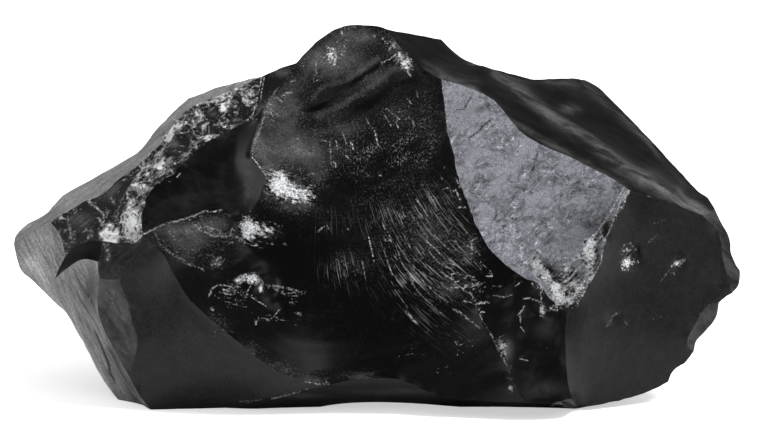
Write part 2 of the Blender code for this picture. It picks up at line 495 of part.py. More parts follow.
def facet_skin(name, outline, step, swell):
    """Inner points and triangles of one facet; the first vertices are its outline's."""
    middle, side, rise, normal = facet_frame(outline)
    laid = (outline - middle) @ np.column_stack([side, rise])
    inner, gap = grid_inside(laid, step)
    flat = np.vstack([laid, inner])
    triangles = triangles_of(flat, len(outline))
    height = np.zeros(len(flat))
    height[:len(outline)] = (outline - middle) @ normal
    free = np.arange(len(flat)) >= len(outline)
    height = stretch(flat, triangles, height, free, swell)
    inner_height = height[len(outline):]
    points = middle + inner[:, :1] * side + inner[:, 1:] * rise + inner_height[:, None] * normal
    fade = np.clip((gap - 0.5) / 1.5, 0.0, 1.0)[:, None]
    points += fade * relief(name, points)[:, None] * normal
    return points, triangles


# ---------------------------------------------------------------- the whole stone
def stone_skin():
    """Vertices (mm) and triangles of the closed solid."""
    names = list(DRAWN_CORNERS) + list(BACK_CORNERS)
    spots = np.vstack([place(list(DRAWN_CORNERS.values())), list(BACK_CORNERS.values())])
    corners = dict(zip(names, spots))
    points = [spots]
    ids = {}
    count = len(names)
    for name, line in arris_lines(corners).items():
        start, end = (CURVED_ARRISES.get(name) or STRAIGHT_ARRISES[name])[:2]
        middle_ids = np.arange(count, count + len(line) - 2)
        ids[name] = np.concatenate([[names.index(start)], middle_ids, [names.index(end)]])
        points.append(line[1:-1])
        count += len(line) - 2
    net = np.vstack(points)
    triangles = []
    for name, (swell, loop) in {**FRONT_FACETS, **BACK_FACETS}.items():
        ring = []
        for word in loop.split():
            run = ids[word.lstrip("-")]
            ring.append(run[::-1][:-1] if word.startswith("-") else run[:-1])
        ring = np.concatenate(ring)
        step = FRONT_STEP if name in FRONT_FACETS else BACK_STEP
        inner, faces = facet_skin(name, net[ring], step, swell)
        points.append(inner)
        triangles.append(np.concatenate([ring, np.arange(count, count + len(inner))])[faces])
        count += len(inner)
    return np.vstack(points), np.vstack(triangles)


def glass_material():
    """Polished black volcanic glass."""
    material = bpy.data.materials.new("obsidian_glass")
    material.use_nodes = True
    shader = material.node_tree.nodes["Principled BSDF"]
    shader.inputs["Base Color"].default_value = GLASS_COLOUR
    shader.inputs["Roughness"].default_value = GLASS_ROUGHNESS
    shader.inputs["Metallic"].default_value = 0.0
    return material


def build():
    """Clear the scene and make the stone, standing on its ground face over the middle of its box."""
    for other in list(bpy.data.objects):
        bpy.data.objects.remove(other, do_unlink=True)
    points, triangles = stone_skin()
    low, high = points.min(axis=0), points.max(axis=0)
    points -= [(low[0] + high[0]) / 2.0, (low[1] + high[1]) / 2.0, 0.0]
    points *= LENGTH / (high[0] - low[0])
    mesh = bpy.data.meshes.new("obsidian_chunk")
    mesh.from_pydata(points.tolist(), [], triangles.tolist())
    mesh.materials.append(glass_material())
    stone = bpy.data.objects.new("obsidian_chunk", mesh)
    bpy.context.scene.collection.objects.link(stone)
    print("stone box, mm:", np.round(1000.0 * (points.max(axis=0) - points.min(axis=0)), 2),
          "triangles:", len(triangles))


build()
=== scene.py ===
# %% [markdown]
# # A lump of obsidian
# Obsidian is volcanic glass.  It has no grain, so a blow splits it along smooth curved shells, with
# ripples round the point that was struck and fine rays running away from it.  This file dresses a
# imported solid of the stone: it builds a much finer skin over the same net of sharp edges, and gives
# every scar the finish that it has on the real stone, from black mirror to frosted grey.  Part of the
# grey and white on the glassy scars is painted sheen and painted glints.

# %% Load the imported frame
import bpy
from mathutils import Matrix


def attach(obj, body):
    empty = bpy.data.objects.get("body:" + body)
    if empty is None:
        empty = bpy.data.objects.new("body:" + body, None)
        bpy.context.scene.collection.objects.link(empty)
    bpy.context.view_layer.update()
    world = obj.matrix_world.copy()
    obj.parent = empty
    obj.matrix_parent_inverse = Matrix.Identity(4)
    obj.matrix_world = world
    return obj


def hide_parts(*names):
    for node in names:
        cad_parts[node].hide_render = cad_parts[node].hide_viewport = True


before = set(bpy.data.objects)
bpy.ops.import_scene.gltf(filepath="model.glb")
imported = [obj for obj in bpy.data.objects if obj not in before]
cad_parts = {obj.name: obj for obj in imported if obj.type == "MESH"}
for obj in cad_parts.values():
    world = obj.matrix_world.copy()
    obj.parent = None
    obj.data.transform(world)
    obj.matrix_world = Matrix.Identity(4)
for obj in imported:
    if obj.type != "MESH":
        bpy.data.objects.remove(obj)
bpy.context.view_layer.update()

# %% Tools
import math

import bpy
import numpy as np
from mathutils.geometry import delaunay_2d_cdt

# %% [markdown]
# ## Where the stone is drawn from
# The front of the stone is a drawing seen by an eye that looks down ten degrees from more than half
# a metre away.  Every front point is written as three lengths in millimetres: across, up, and out
# toward the eye.  Plain x, y and z would do too, but this way an outline can be drawn as it looks.
# The same eye is the camera, so what is drawn is what is rendered.

# %% The eye and the camera
EYE_TILT = math.radians(10.0)
EYE_DISTANCE = 582.0    # mm
AIM_UP = 20.9           # height in the drawing of the point that the eye looks at, mm
AIM_Z = 19.55           # its real height above the ground, mm
GROUND = math.nan       # written for `out` where a point lies on the ground
DRAWN_WIDTH = 83.86     # width of the whole view at the aim point, mm
SENSOR_WIDTH = 36.0     # of the camera, mm
NET_MIDDLE = np.array([-0.6429, 7.2888, 0.0])   # middle of the net's box on the ground, mm
NET_SCALE = 0.99644e-3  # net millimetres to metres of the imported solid

RIGHT = np.array([1.0, 0.0, 0.0])
UP = np.array([0.0, math.sin(EYE_TILT), math.cos(EYE_TILT)])
FORWARD = np.array([0.0, math.cos(EYE_TILT), -math.sin(EYE_TILT)])
AIM = np.array([0.0, 0.0, AIM_Z])
EYE = AIM - EYE_DISTANCE * FORWARD


def to_frame(points):
    """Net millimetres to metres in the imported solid's frame: shift to the box's middle, then scale."""
    return (points - NET_MIDDLE) * NET_SCALE


camera_data = bpy.data.cameras.new("camera")
camera_data.sensor_width = SENSOR_WIDTH
camera_data.lens = SENSOR_WIDTH * EYE_DISTANCE / DRAWN_WIDTH
camera = bpy.data.objects.new("camera", camera_data)
camera.location = to_frame(EYE)
camera.rotation_euler = (math.radians(90.0) - EYE_TILT, 0.0, 0.0)
bpy.context.scene.collection.objects.link(camera)
bpy.context.scene.camera = camera
print("camera lens, mm:", round(camera_data.lens, 1), "at", np.round(camera.location, 3))

# %% [markdown]
# ## Floor and studio light
# Black glass shows almost nothing of its own: what is seen is the room, reflected at about four
# per cent.  A few lamps alone would leave white spots on it, so the light is a white tent with dark
# flags in it, as a studio hangs them: each scar mirrors another part of the room, and a flag there
# turns it black.  A wash from overhead lights the floor and the frosted and crushed glass, and a
# smaller key from the upper right brings out their relief.

# %% Small helpers for node trees
def wire(tree, start, end):
    """Link one socket to another."""
    tree.links.new(start, end)


def node(tree, kind, **settings):
    """Add a node of a kind and set its properties by name."""
    made = tree.nodes.new(kind)
    for name, value in settings.items():
        setattr(made, name, value)
    return made


def maths(tree, operation, first, second=None, third=None, clamp=False):
    """A Math node; each value is a socket or a plain number.  Returns the result's socket."""
    made = node(tree, "ShaderNodeMath", operation=operation, use_clamp=clamp)
    for socket, value in zip(made.inputs, (first, second, third)):
        if value is None:
            continue
        if isinstance(value, (int, float)):
            socket.default_value = value
        else:
            wire(tree, value, socket)
    return made.outputs[0]


def ramp(tree, value, low, high, start=0.0, end=1.0, smooth=True):
    """Map Range: a value between low and high becomes one between start and end."""
    made = node(tree, "ShaderNodeMapRange")
    if smooth:
        made.interpolation_type = "SMOOTHSTEP"
    wire(tree, value, made.inputs["Value"])
    for name, number in (("From Min", low), ("From Max", high), ("To Min", start), ("To Max", end)):
        made.inputs[name].default_value = number
    return made.outputs["Result"]


# %% The floor
FLOOR_HALF = 1.5                # half the side of the table top, m
FLOOR_PALE = 0.86
FLOOR_GLOW = 0.55               # light from under the table top, which thins the shadow
FLOOR_IN_GLASS = (0.08, 0.45)   # how pale the glass mirrors the floor: the cloth, the table
CLOTH_EDGE = (-0.040, -0.022)   # y over which the cloth gives way to the table, m


def pale_floor():
    """A plain matt white table top at the height of the ground.

    It is lit a little from under, for the eye alone.  The glass mirrors it darker, and darkest in
    front, as if a black cloth lay before the stone and kept white out of its lower scars."""
    corners = [(x * FLOOR_HALF, y * FLOOR_HALF, 0.0) for x, y in ((-1, -1), (1, -1), (1, 1), (-1, 1))]
    mesh = bpy.data.meshes.new("floor")
    mesh.from_pydata(corners, [], [(0, 1, 2, 3)])
    floor = bpy.data.objects.new("floor", mesh)
    bpy.context.scene.collection.objects.link(floor)
    paint = bpy.data.materials.new("floor_paint")
    paint.use_nodes = True
    tree = paint.node_tree
    shader = tree.nodes["Principled BSDF"]
    path = node(tree, "ShaderNodeLightPath")
    place_on = node(tree, "ShaderNodeSeparateXYZ")
    wire(tree, node(tree, "ShaderNodeTexCoord").outputs["Object"], place_on.inputs[0])
    mirrored = ramp(tree, place_on.outputs["Y"], *CLOTH_EDGE, *FLOOR_IN_GLASS)
    darker = maths(tree, "SUBTRACT", FLOOR_PALE, mirrored)
    darker = maths(tree, "MULTIPLY", path.outputs["Is Glossy Ray"], darker)
    wire(tree, maths(tree, "SUBTRACT", FLOOR_PALE, darker), shader.inputs["Base Color"])
    glow = maths(tree, "MULTIPLY", path.outputs["Is Camera Ray"], FLOOR_GLOW)
    wire(tree, glow, shader.inputs["Emission Strength"])
    shader.inputs["Emission Color"].default_value = (1.0, 1.0, 1.0, 1.0)
    shader.inputs["Roughness"].default_value = 0.9
    shader.inputs["Specular IOR Level"].default_value = 0.1
    mesh.materials.append(paint)
    return floor


print("floor:", [round(side, 2) for side in pale_floor().dimensions[:2]], "m")

# %% The tent with its dark flags
TENT = 0.95     # brightness of the tent's cloth
FILL = 0.55     # share of the tent's light that reaches matt surfaces, so that the lamps shape them
FLAGS = [       # azimuth, elevation, cosines where it starts and is full, brightness left there
    (-8.0, 40.0, 0.72, 0.90, 0.06),     # above the camera
    (-55.0, 55.0, 0.80, 0.93, 0.08),    # in front, high at the left
    (180.0, 50.0, 0.45, 0.85, 0.10),    # behind, high and wide
    (56.0, 8.0, 0.86, 0.97, 0.20),      # in front, low at the right
    (-14.0, -8.0, 0.80, 0.93, 0.14),    # under the camera
    (48.0, 44.0, 0.84, 0.95, 0.10),     # in front, high at the right
    (138.0, 50.0, 0.82, 0.95, 0.14),    # behind, high at the right
    (-141.0, 9.0, 0.87, 0.96, 0.14),    # behind, low at the left
]


def direction(azimuth, elevation):
    """Unit vector toward a part of the room; azimuth 0 is the camera's side, 90 the right."""
    a, e = math.radians(azimuth), math.radians(elevation)
    return (math.sin(a) * math.cos(e), -math.cos(a) * math.cos(e), math.sin(e))


def light_tent():
    """World brightness: the tent's, or the least that a flag leaves there; the eye itself sees white."""
    world = bpy.data.worlds.new("tent")
    world.use_nodes = True
    bpy.context.scene.world = world
    tree = world.node_tree
    background = tree.nodes["Background"]
    where = node(tree, "ShaderNodeTexCoord").outputs["Generated"]
    light = TENT
    for azimuth, elevation, start, full, left in FLAGS:
        cosine = node(tree, "ShaderNodeVectorMath", operation="DOT_PRODUCT")
        wire(tree, where, cosine.inputs[0])
        cosine.inputs[1].default_value = direction(azimuth, elevation)
        light = maths(tree, "MINIMUM", ramp(tree, cosine.outputs["Value"], start, full, TENT, left), light)
    path = node(tree, "ShaderNodeLightPath")
    light = maths(tree, "MULTIPLY", light, ramp(tree, path.outputs["Is Diffuse Ray"], 0.0, 1.0, 1.0, FILL))
    light = maths(tree, "MAXIMUM", light, path.outputs["Is Camera Ray"])
    wire(tree, light, background.inputs["Color"])
    background.inputs["Strength"].default_value = 1.0


def soft_sun(name, azimuth, elevation, strength, spread):
    """A sun lamp `spread` degrees wide that shines from a part of the room but shows in no reflection."""
    lamp = bpy.data.lights.new(name, "SUN")
    lamp.energy = strength
    lamp.angle = math.radians(spread)
    sun = bpy.data.objects.new(name, lamp)
    sun.rotation_euler = (math.radians(90.0 - elevation), 0.0, math.radians(azimuth))
    sun.visible_glossy = False
    bpy.context.scene.collection.objects.link(sun)


light_tent()
soft_sun("sky_wash", 50.0, 78.0, 2.0, 120.0)
soft_sun("key", 60.0, 52.0, 2.2, 12.0)
bpy.context.scene.view_settings.view_transform = "Standard"
print("tent with", len(FLAGS), "dark flags, lamps:", sorted(lamp.name for lamp in bpy.data.lights))

# %% [markdown]
# ## The net of arrises
# A struck stone is a few smooth scars that meet in sharp edges, called arrises.  A block carved by
# hand or broken up by a modifier would not meet in these lines, so the stone is written as a net:
# corners, the lines between them and the loops they close.  These are the driving shapes of the
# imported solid, written again here because a scene reads nothing but its frame.

# %% Corners of the front
# Corners of the front and of the outline: (across, up, out) in the drawing, mm
DRAWN_CORNERS = {
    "left_tip": (-40.4, 18.2, -5.0),
    "left_dip": (-26.8, 28.3, -7.5),
    "left_shoulder": (-21.2, 34.3, -9.5),
    "crest_left": (-13.1, 36.7, -9.5),
    "bulb_left": (-9.3, 38.2, -9.0),
    "bulb_right": (0.3, 42.1, -9.5),
    "crest_right": (6.7, 40.8, -12.0),
    "saddle": (16.7, 36.4, -13.0),
    "right_shoulder": (22.6, 36.3, -13.5),
    "right_brow": (36.8, 22.2, 0.5),
    "right_nose": (38.7, 12.8, 3.0),
    "right_notch": (37.3, 11.8, 3.2),
    "right_heel": (34.5, 6.4, 4.0),
    "right_chin": (31.7, 3.1, 5.0),
    "toe_right": (21.5, 0.1, GROUND),
    "arch_right": (8.8, 0.3, GROUND),
    "arch_left": (-6.7, 0.3, GROUND),
    "bevel_tip": (-17.1, 0.2, GROUND),
    "toe_left": (-25.3, 0.0, GROUND),
    "heel_left": (-28.9, 1.1, GROUND),
    "throat": (6.7, 36.4, -4.5),
    "cheek": (27.4, 24.2, 3.0),
    "grey_corner": (20.7, 11.2, 12.5),
    "grey_foot": (15.6, 14.7, 11.0),
    "ridge_foot": (15.9, 0.9, 14.8),
    "shell_foot": (-6.4, 2.6, 12.0),
    "bevel_right": (21.1, 1.2, 14.2),
    "ledge_right": (-15.5, 19.0, 7.0),
    "ledge_left": (-26.2, 19.3, 6.0),
    "shell_left": (-24.9, 18.1, 9.5),
    "ledge_foot": (-23.7, 16.8, 10.8),
    "streak_foot": (-14.4, 31.8, -3.0),
    "bulb_waist": (-13.4, 31.8, -1.0),
    "wedge_right": (-30.8, 18.6, 3.2),
    "wedge_tip": (-35.9, 14.4, -0.8),
    "wedge_top": (-34.7, 16.9, -0.2),
    "wedge_foot": (-31.1, 16.3, 5.2),
    "cheek_left": (-31.0, 14.5, 6.6),
    "flat_top": (-28.7, 14.3, 9.8),
    "cheek_foot": (-27.6, 3.5, 8.6),
    "band_end": (-36.4, 20.7, -1.5),
    "lid_right": (35.5, 21.4, 2.2),
    "ridge_top": (10.7, 11.2, 12.2),
}

# %% Corners of the back
# Corners of the back and of the ground face: (x, y, z), mm
BACK_CORNERS = {
    "back_1": (-30, 16, 14),
    "back_2": (-13, 26, 21),
    "back_3": (7, 29.5, 19),
    "back_4": (22, 27, 16),
    "back_5": (33, 16, 13),
    "base_1": (-26, 9, 0),
    "base_2": (-15, 20, 0),
    "base_3": (2, 24, 0),
    "base_4": (17, 21.5, 0),
    "base_5": (26, 13, 0),
    "base_6": (28, 1.5, 0),
}

# %% How arrises are written
def arrises_of(text):
    """Arrises from rows: name, start, end, and each drawn point between them as across,up,out.

    A semicolon ends a row, and nan stands for a point on the ground."""
    table = {}
    for row in text.split(";"):
        name, start, end, *between = row.split()
        table[name] = (start, end, [tuple(map(float, point.split(","))) for point in between])
    return table


# %% Curved arrises
CURVED_ARRISES = arrises_of("""
    rim_a left_tip left_dip -40.2,19.1,-5.3 -39,20.4,-5.8 -37,21.5,-6.2 -35.1,23.5,-6.5 -33.1,24.7,-6.8
    -30.9,25.9,-7.2 -28.7,27.2,-7.4;
    rim_b left_dip left_shoulder -25.8,29.3,-7.7 -24.3,31.3,-8.3 -22.5,33.1,-9;
    rim_c left_shoulder crest_left -19.9,34.8,-9.6 -17.7,35.5,-9.6 -15.5,36.1,-9.6;
    rim_d crest_left bulb_left -11.1,37.6,-9.3;
    rim_e bulb_left bulb_right -8.3,39.3,-9.2 -6.7,40.8,-9.6 -5,41.9,-10 -3.9,42.3,-10.2 -2,42.4,-10.2
    -0.5,42.3,-9.8;
    rim_f bulb_right crest_right 0.8,41.9,-9.8 3.3,41.4,-11;
    rim_g crest_right saddle 7.7,39.8,-12 9.1,38.7,-12.2 11,37.9,-12.4 13.7,37.2,-12.7 15.6,36.7,-12.9;
    rim_h saddle right_shoulder 18.1,36.4,-13.1 19.8,36.5,-13.3 21.4,36.5,-13.5;
    rim_i right_shoulder right_brow 23.9,35.6,-13.2 25,34.6,-12.8 26.9,32.7,-11.8 29.7,29.8,-9.6
    33,26.2,-6.2 35,24.1,-3.2 36,23.4,-1.6 36.5,22.7,-0.3;
    rim_j right_brow right_nose 37.6,20.5,1.2 38.4,19,1.8 38.6,17.4,2.2 39.1,16.1,2.5 39.6,15.2,2.7
    39.4,13.7,2.9;
    rim_k right_nose right_notch 37.9,12.3,3.1;
    rim_l right_notch right_heel 36.9,10.1,3.4 35.6,8.4,3.7 34.8,7.5,3.8;
    rim_m right_heel right_chin 33.7,5.4,4.4 32.2,4.2,4.8;
    rim_n right_chin toe_right 30.2,2.3,5.6 28,1.5,6.6 25.3,0.8,7.9 23.1,0.4,8.9;
    rim_o toe_right arch_right 18.7,0.2,nan 13.2,0.3,nan;
    rim_p arch_right arch_left 5.5,0.6,8.4 2.1,0.8,8.6 -2.3,0.9,8.6 -4.5,0.7,8.4;
    rim_q arch_left bevel_tip -11.1,0.2,nan -14.4,0.1,nan;
    rim_r bevel_tip toe_left -21,0.1,nan;
    rim_s toe_left heel_left -26.5,0.6,nan;
    rim_t heel_left left_tip -30,2.5,1.6 -31.1,4.2,0.2 -32.2,6.4,-1.2 -33.6,8.8,-2.4 -34.7,10.7,-3.2
    -36.4,12.3,-3.8 -38.1,14,-4.4 -39.6,15.4,-5 -40.1,16.8,-5.1;
    shell_brow bulb_right throat 1.3,41.1,-9 2.1,40,-8.2 3.3,38.8,-7.2 4.4,37.8,-6.2 5.7,36.9,-5.2;
    shell_grey throat grey_foot 6.9,34.7,-3 7.2,32.5,-1.4 7.5,30.3,0.6 8,28.1,2.6 8.5,25.9,4.4 9.3,23.7,6
    10.1,21.8,7.3 10.7,20.1,8.4 11.6,18.4,9.4 12.8,16.9,10.2 14.3,15.6,10.8;
    lid_grey throat cheek 9.1,35.7,-4 11.5,34.7,-3.4 12.9,33.7,-2.9 14.1,32.3,-2.2 15.6,30.5,-1.2
    17.6,29.3,-0.4 19.8,28.3,0.5 21.4,27.6,1 23.1,26.7,1.6 25.3,25.6,2.3;
    lid_flank cheek lid_right 29.7,23.5,3 31.9,22.9,2.8 34.1,22,2.5;
    lid_end lid_right right_brow 36.2,21.6,1.4;
    grey_flank cheek grey_corner 26.6,22.6,4.4 25.5,20.4,6.4 24.5,18.2,8.4 23.6,16,10.2 23.1,14.1,11.3
    22,12.3,12.2;
    grey_toe grey_corner grey_foot 19.2,12,12.4 17.9,13.2,12 16.8,14.1,11.6;
    shell_toe grey_foot ridge_top 13.7,13.8,11.4 12.1,12.7,11.8;
    ridge ridge_top ridge_foot 11.8,9,13.1 13.2,6.8,13.8 14.1,5.1,14.4 14.6,3.3,14.9;
    toe_flank grey_corner bevel_right 20.4,8.8,13 20.4,5.5,13.8 20.7,2.8,14.3;
    bevel_end bevel_right toe_right 21.4,0.7,12.6;
    bevel_a bevel_right ridge_foot 19.8,1,14.5 18.1,0.8,14.7;
    bevel_b ridge_foot shell_foot 13.2,0.9,14.2 9.9,1.1,13.5 6.6,1.5,13 4.1,2.5,12.2 2.1,3.3,12.3
    -0.6,3.5,12.2 -3.4,3.2,12.1;
    bevel_c shell_foot bevel_tip -8.9,2.1,11.4 -12.7,1.2,10.5;
    flat_edge shell_foot ledge_foot -8.9,3.3,12.8 -11.1,4.1,13.4 -13.3,5.5,14 -15.5,7.3,14.3 -17.1,8.6,14.3
    -19.3,10.5,13.9 -21,12.1,13.3 -22.3,14.1,12.5 -23.3,15.9,11.5;
    flat_crown ledge_foot shell_left -24.3,17.4,10.2;
    flat_top_edge shell_left flat_top -25.7,17.4,9.8 -27.1,16.3,9.9 -28.2,15.3,9.8;
    flat_left flat_top cheek_foot -27.9,12.1,10.4 -27.4,9.9,10.8 -26.8,7.7,11 -27.1,5.8,10.3 -27.5,4.3,9.2;
    cheek_left_edge cheek_left cheek_foot -31.2,12.1,7.4 -30.9,9.9,7.8 -30.2,8.2,8.1 -28.9,5.8,8.4;
    cheek_top cheek_left flat_top -29.8,14.3,8.2;
    left_keel cheek_foot toe_left -26.5,1.5,9.2;
    patch_left wedge_foot cheek_left -31.1,15.4,6;
    patch_top wedge_right ledge_left -28.7,18.3,4.6 -26.7,18.5,5.6;
    patch_right ledge_left shell_left -25.4,18.6,8;
    wedge_side wedge_right wedge_foot -30.8,17.4,4.4;
    wedge_upper wedge_top wedge_right -33.8,17.9,0.8 -32.5,18.5,1.9;
    wedge_back wedge_tip wedge_top -35.3,15.8,-0.6;
    wedge_lower wedge_tip wedge_foot -34.9,15.3,0.8 -33.8,16.1,2.2 -32.6,16.6,3.8;
    band_a left_tip band_end -38.4,19.6,-3.4;
    band_b band_end crest_left -34.2,22,-1.6 -30.9,23.8,-2 -28.2,25.6,-2.6 -26.2,27.1,-3.4 -24.9,28.7,-4.2
    -23.5,30.6,-5.2 -22.1,32.3,-6 -20.3,33.5,-6.8 -18.1,34.5,-7.6 -15.5,35.5,-8.5;
    band_stub band_end wedge_top -35.3,19.2,-0.8;
    ledge_top ledge_left ledge_right -24.9,19.9,6.4 -22.6,20.7,6.8 -20.4,21.2,7 -19.5,21.9,7 -17.5,22,7.2
    -16.7,20.6,7.2;
    ledge_low ledge_foot ledge_right -21,15.9,10.8 -18.2,15.3,10.4 -15.5,16.2,9.4 -14.5,17.6,8.2;
    scoop_left ledge_left streak_foot -26.4,20.7,4.8 -26.3,22.3,3.8 -25.4,23.7,3 -24.3,25.2,2.2 -23,25.8,1.8
    -21.7,27.3,0.8 -20.1,28.8,-0.2 -18.3,29.6,-1 -16.1,31,-2.2;
    streak crest_left streak_foot -13.4,35,-7.2 -13.8,33.3,-4.8;
    bulb_edge_top bulb_left bulb_waist -10.2,36.6,-7 -11.4,35,-4.8 -12.6,33.6,-2.9;
    bulb_edge bulb_waist ledge_right -13.7,30.7,0.2 -14.2,29.2,1.5 -14.4,27.9,2.6 -13.6,26.9,3.6
    -12.7,25.7,4.8 -13.1,24.2,5.6 -13.5,23.1,6.1 -14.4,21.8,6.6 -15.2,20.6,6.9;
    lid_lip lid_right right_nose 36.8,20.1,1.4 37.5,18.4,2 37.7,16.5,2.6 38.2,14.8,3.2 38.5,13.6,3.4;
    heel_lip right_notch right_heel 36.1,11.5,4 34.9,9.9,4.8 34.1,8.5,5.2 33.8,7.2,5;
    sole_arch arch_right arch_left 3.5,0.7,nan -1,0.85,nan -4.5,0.65,nan""")

# %% Straight arrises
STRAIGHT_ARRISES = arrises_of("""
    scoop_roof streak_foot bulb_waist; spine_1 left_tip back_1; spine_2 back_1 back_2; spine_3 back_2
    back_3; spine_4 back_3 back_4; spine_5 back_4 back_5; rib_1 left_shoulder back_2; rib_2 crest_right
    back_3; rib_3 right_shoulder back_4; rib_4 right_brow back_5; rib_5 right_heel back_5; post_1 back_1
    base_1; post_2 back_2 base_2; post_3 back_3 base_3; post_4 back_4 base_4; post_5 back_5 base_5; sole_1
    heel_left base_1; sole_2 base_1 base_2; sole_3 base_2 base_3; sole_4 base_3 base_4; sole_5 base_4
    base_5; sole_6 base_5 base_6; sole_7 base_6 toe_right""")

# %% Facets
# Facets: swelling (1/mm, negative is hollow) and the loop of arrises, anticlockwise from outside; a
# minus sign is an arris followed backward
FRONT_FACETS = {
    "band": (0.004, "-rim_c -rim_b -rim_a band_a band_b"),
    "rubble": (0.004, "-band_b band_stub wedge_upper patch_top scoop_left -streak"),
    "streak_face": (0.004, "-rim_d streak scoop_roof -bulb_edge_top"),
    "scoop": (-0.2, "-scoop_left ledge_top -bulb_edge -scoop_roof"),
    "ledge": (0.006, "-ledge_top patch_right -flat_crown ledge_low"),
    "patch": (0, "-patch_top wedge_side patch_left cheek_top -flat_top_edge -patch_right"),
    "wedge": (-0.15, "-wedge_upper -wedge_back wedge_lower -wedge_side"),
    "left_flank": (0.004, "-band_a -rim_t -rim_s -left_keel -cheek_left_edge -patch_left -wedge_lower "
        "wedge_back -band_stub"),
    "cheek": (0, "-cheek_top cheek_left_edge -flat_left"),
    "flat": (0.0015, "flat_top_edge flat_left left_keel -rim_r -bevel_c flat_edge flat_crown"),
    "shell": (0, "-rim_e bulb_edge_top bulb_edge -ledge_low -flat_edge -bevel_b -ridge -shell_toe "
        "-shell_grey -shell_brow"),
    "toe": (-0.1, "shell_toe ridge -bevel_a -toe_flank grey_toe"),
    "bevel": (0, "bevel_c -rim_q -rim_p -rim_o -bevel_end bevel_a bevel_b"),
    "grey": (-0.003, "shell_grey -grey_toe -grey_flank -lid_grey"),
    "lid": (-0.004, "shell_brow lid_grey lid_flank lid_end -rim_i -rim_h -rim_g -rim_f"),
    "brow_lip": (0, "-lid_end lid_lip -rim_j"),
    "flank": (0.003, "grey_flank toe_flank bevel_end -rim_n -rim_m -heel_lip -rim_k -lid_lip -lid_flank"),
    "heel_chip": (-0.12, "heel_lip -rim_l"),
}
BACK_FACETS = {
    "left_low": (-0.01, "rim_t spine_1 post_1 -sole_1"),
    "left_high": (-0.008, "rim_a rim_b rib_1 -spine_2 -spine_1"),
    "crest_back": (-0.018, "rim_c rim_d rim_e rim_f rib_2 -spine_3 -rib_1"),
    "right_crest_back": (-0.02, "rim_g rim_h rib_3 -spine_4 -rib_2"),
    "right_high": (-0.014, "rim_i rib_4 -spine_5 -rib_3"),
    "right_end": (-0.012, "rim_j rim_k rim_l rib_5 -rib_4"),
    "right_under": (-0.006, "rim_m rim_n -sole_7 -sole_6 -post_5 -rib_5"),
    "back_left": (-0.012, "spine_2 post_2 -sole_2 -post_1"),
    "back_mid": (-0.02, "spine_3 post_3 -sole_3 -post_2"),
    "back_right": (-0.014, "spine_4 post_4 -sole_4 -post_3"),
    "back_end": (-0.02, "spine_5 post_5 -sole_5 -post_4"),
    "base": (0, "rim_s sole_1 sole_2 sole_3 sole_4 sole_5 sole_6 sole_7 rim_o sole_arch rim_q rim_r"),
    "arch": (0, "rim_p -sole_arch"),
}
print("net:", len(DRAWN_CORNERS) + len(BACK_CORNERS), "corners,",
      len(CURVED_ARRISES) + len(STRAIGHT_ARRISES), "arrises,", len(FRONT_FACETS) + len(BACK_FACETS), "facets")

# %% [markdown]
# ## From the drawing to space
# A drawn point becomes a real one by following its sight line from the eye until it meets the
# upright plane at its `out` value, or the ground.  The inverse tells where a point of the finished
# skin sits in the drawing, which is how ripples, pits and bruises find their places.

# %% Place and seen
def place(drawn):
    """Eye + reach x sight line, where reach brings y to -out, or z to 0 for a ground point."""
    across, rise, out = np.asarray(drawn, dtype=float).T
    sight = AIM + across[:, None] * RIGHT + (rise - AIM_UP)[:, None] * UP - EYE
    on_ground = np.isnan(out)
    reach = np.where(on_ground, -EYE[2] / sight[:, 2], (-out - EYE[1]) / sight[:, 1])
    points = EYE + reach[:, None] * sight
    points[on_ground, 2] = 0.0
    return points


def seen(points):
    """Drawn position (across, up): sideways and upward distance, shrunk by eye distance / depth."""
    from_eye = points - EYE
    shrink = EYE_DISTANCE / (from_eye @ FORWARD)
    return np.column_stack([shrink * (from_eye @ RIGHT), AIM_UP + shrink * (from_eye @ UP)])


PEAK = (-2.0, 42.4, -10.2)     # the highest drawn point
print("the peak sits at", np.round(place([PEAK])[0], 1), "mm, drawn at", np.round(seen(place([PEAK]))[0], 1))

# %% [markdown]
# ## Noise
# Broken glass is never quite regular.  A random generator would depend on the order of the points,
# so value noise is used: it gives each whole-numbered cell of space a repeatable number and blends
# between the eight nearest.  Octaves of it at halved sizes give grit.

# %% Noise in space
def scatter(cell, seed):
    """A repeatable number from -1 to 1 for each cell: its counts times large numbers, mixed."""
    mixed = (cell[:, 0] * 73856093) ^ (cell[:, 1] * 19349663) ^ (cell[:, 2] * 83492791) ^ seed
    mixed = (mixed & 0xFFFFFF) * 1103515245 + 12345
    mixed = (mixed ^ (mixed >> 15)) & 0xFFFFFF
    return mixed / 0x7FFFFF - 1.0


def noise(points, size, seed=0):
    """Blend of the eight corner values of each point's cell; weights are 3t^2 - 2t^3 along each axis."""
    whole = np.floor(points / size)
    part = points / size - whole
    ease = part * part * (3.0 - 2.0 * part)
    total = np.zeros(len(points))
    for corner in np.ndindex(2, 2, 2):
        weight = np.prod(np.where(np.array(corner) == 1, ease, 1.0 - ease), axis=1)
        total += weight * scatter((whole + corner).astype(np.int64), seed)
    return total


def octaves(points, size, seed=0, count=3):
    """Sum of noise at size, size/2, size/4 ... with heights 1, 1/2, 1/4 ..."""
    return sum(noise(points, size / 2 ** k, seed + k) / 2 ** k for k in range(count))


def step_up(value, low, high):
    """Smooth step: 0 below low, 1 above high, 3t^2 - 2t^3 between."""
    t = np.clip((value - low) / (high - low), 0.0, 1.0)
    return t * t * (3.0 - 2.0 * t)


# %% [markdown]
# ## Arrises
# The sharp edges between scars are smooth lines through a few drawn points.  A straight-sided net
# would show its corners, so each line is a cubic curve.  Where an edge has been bruised on the real
# stone its line wanders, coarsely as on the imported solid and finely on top.

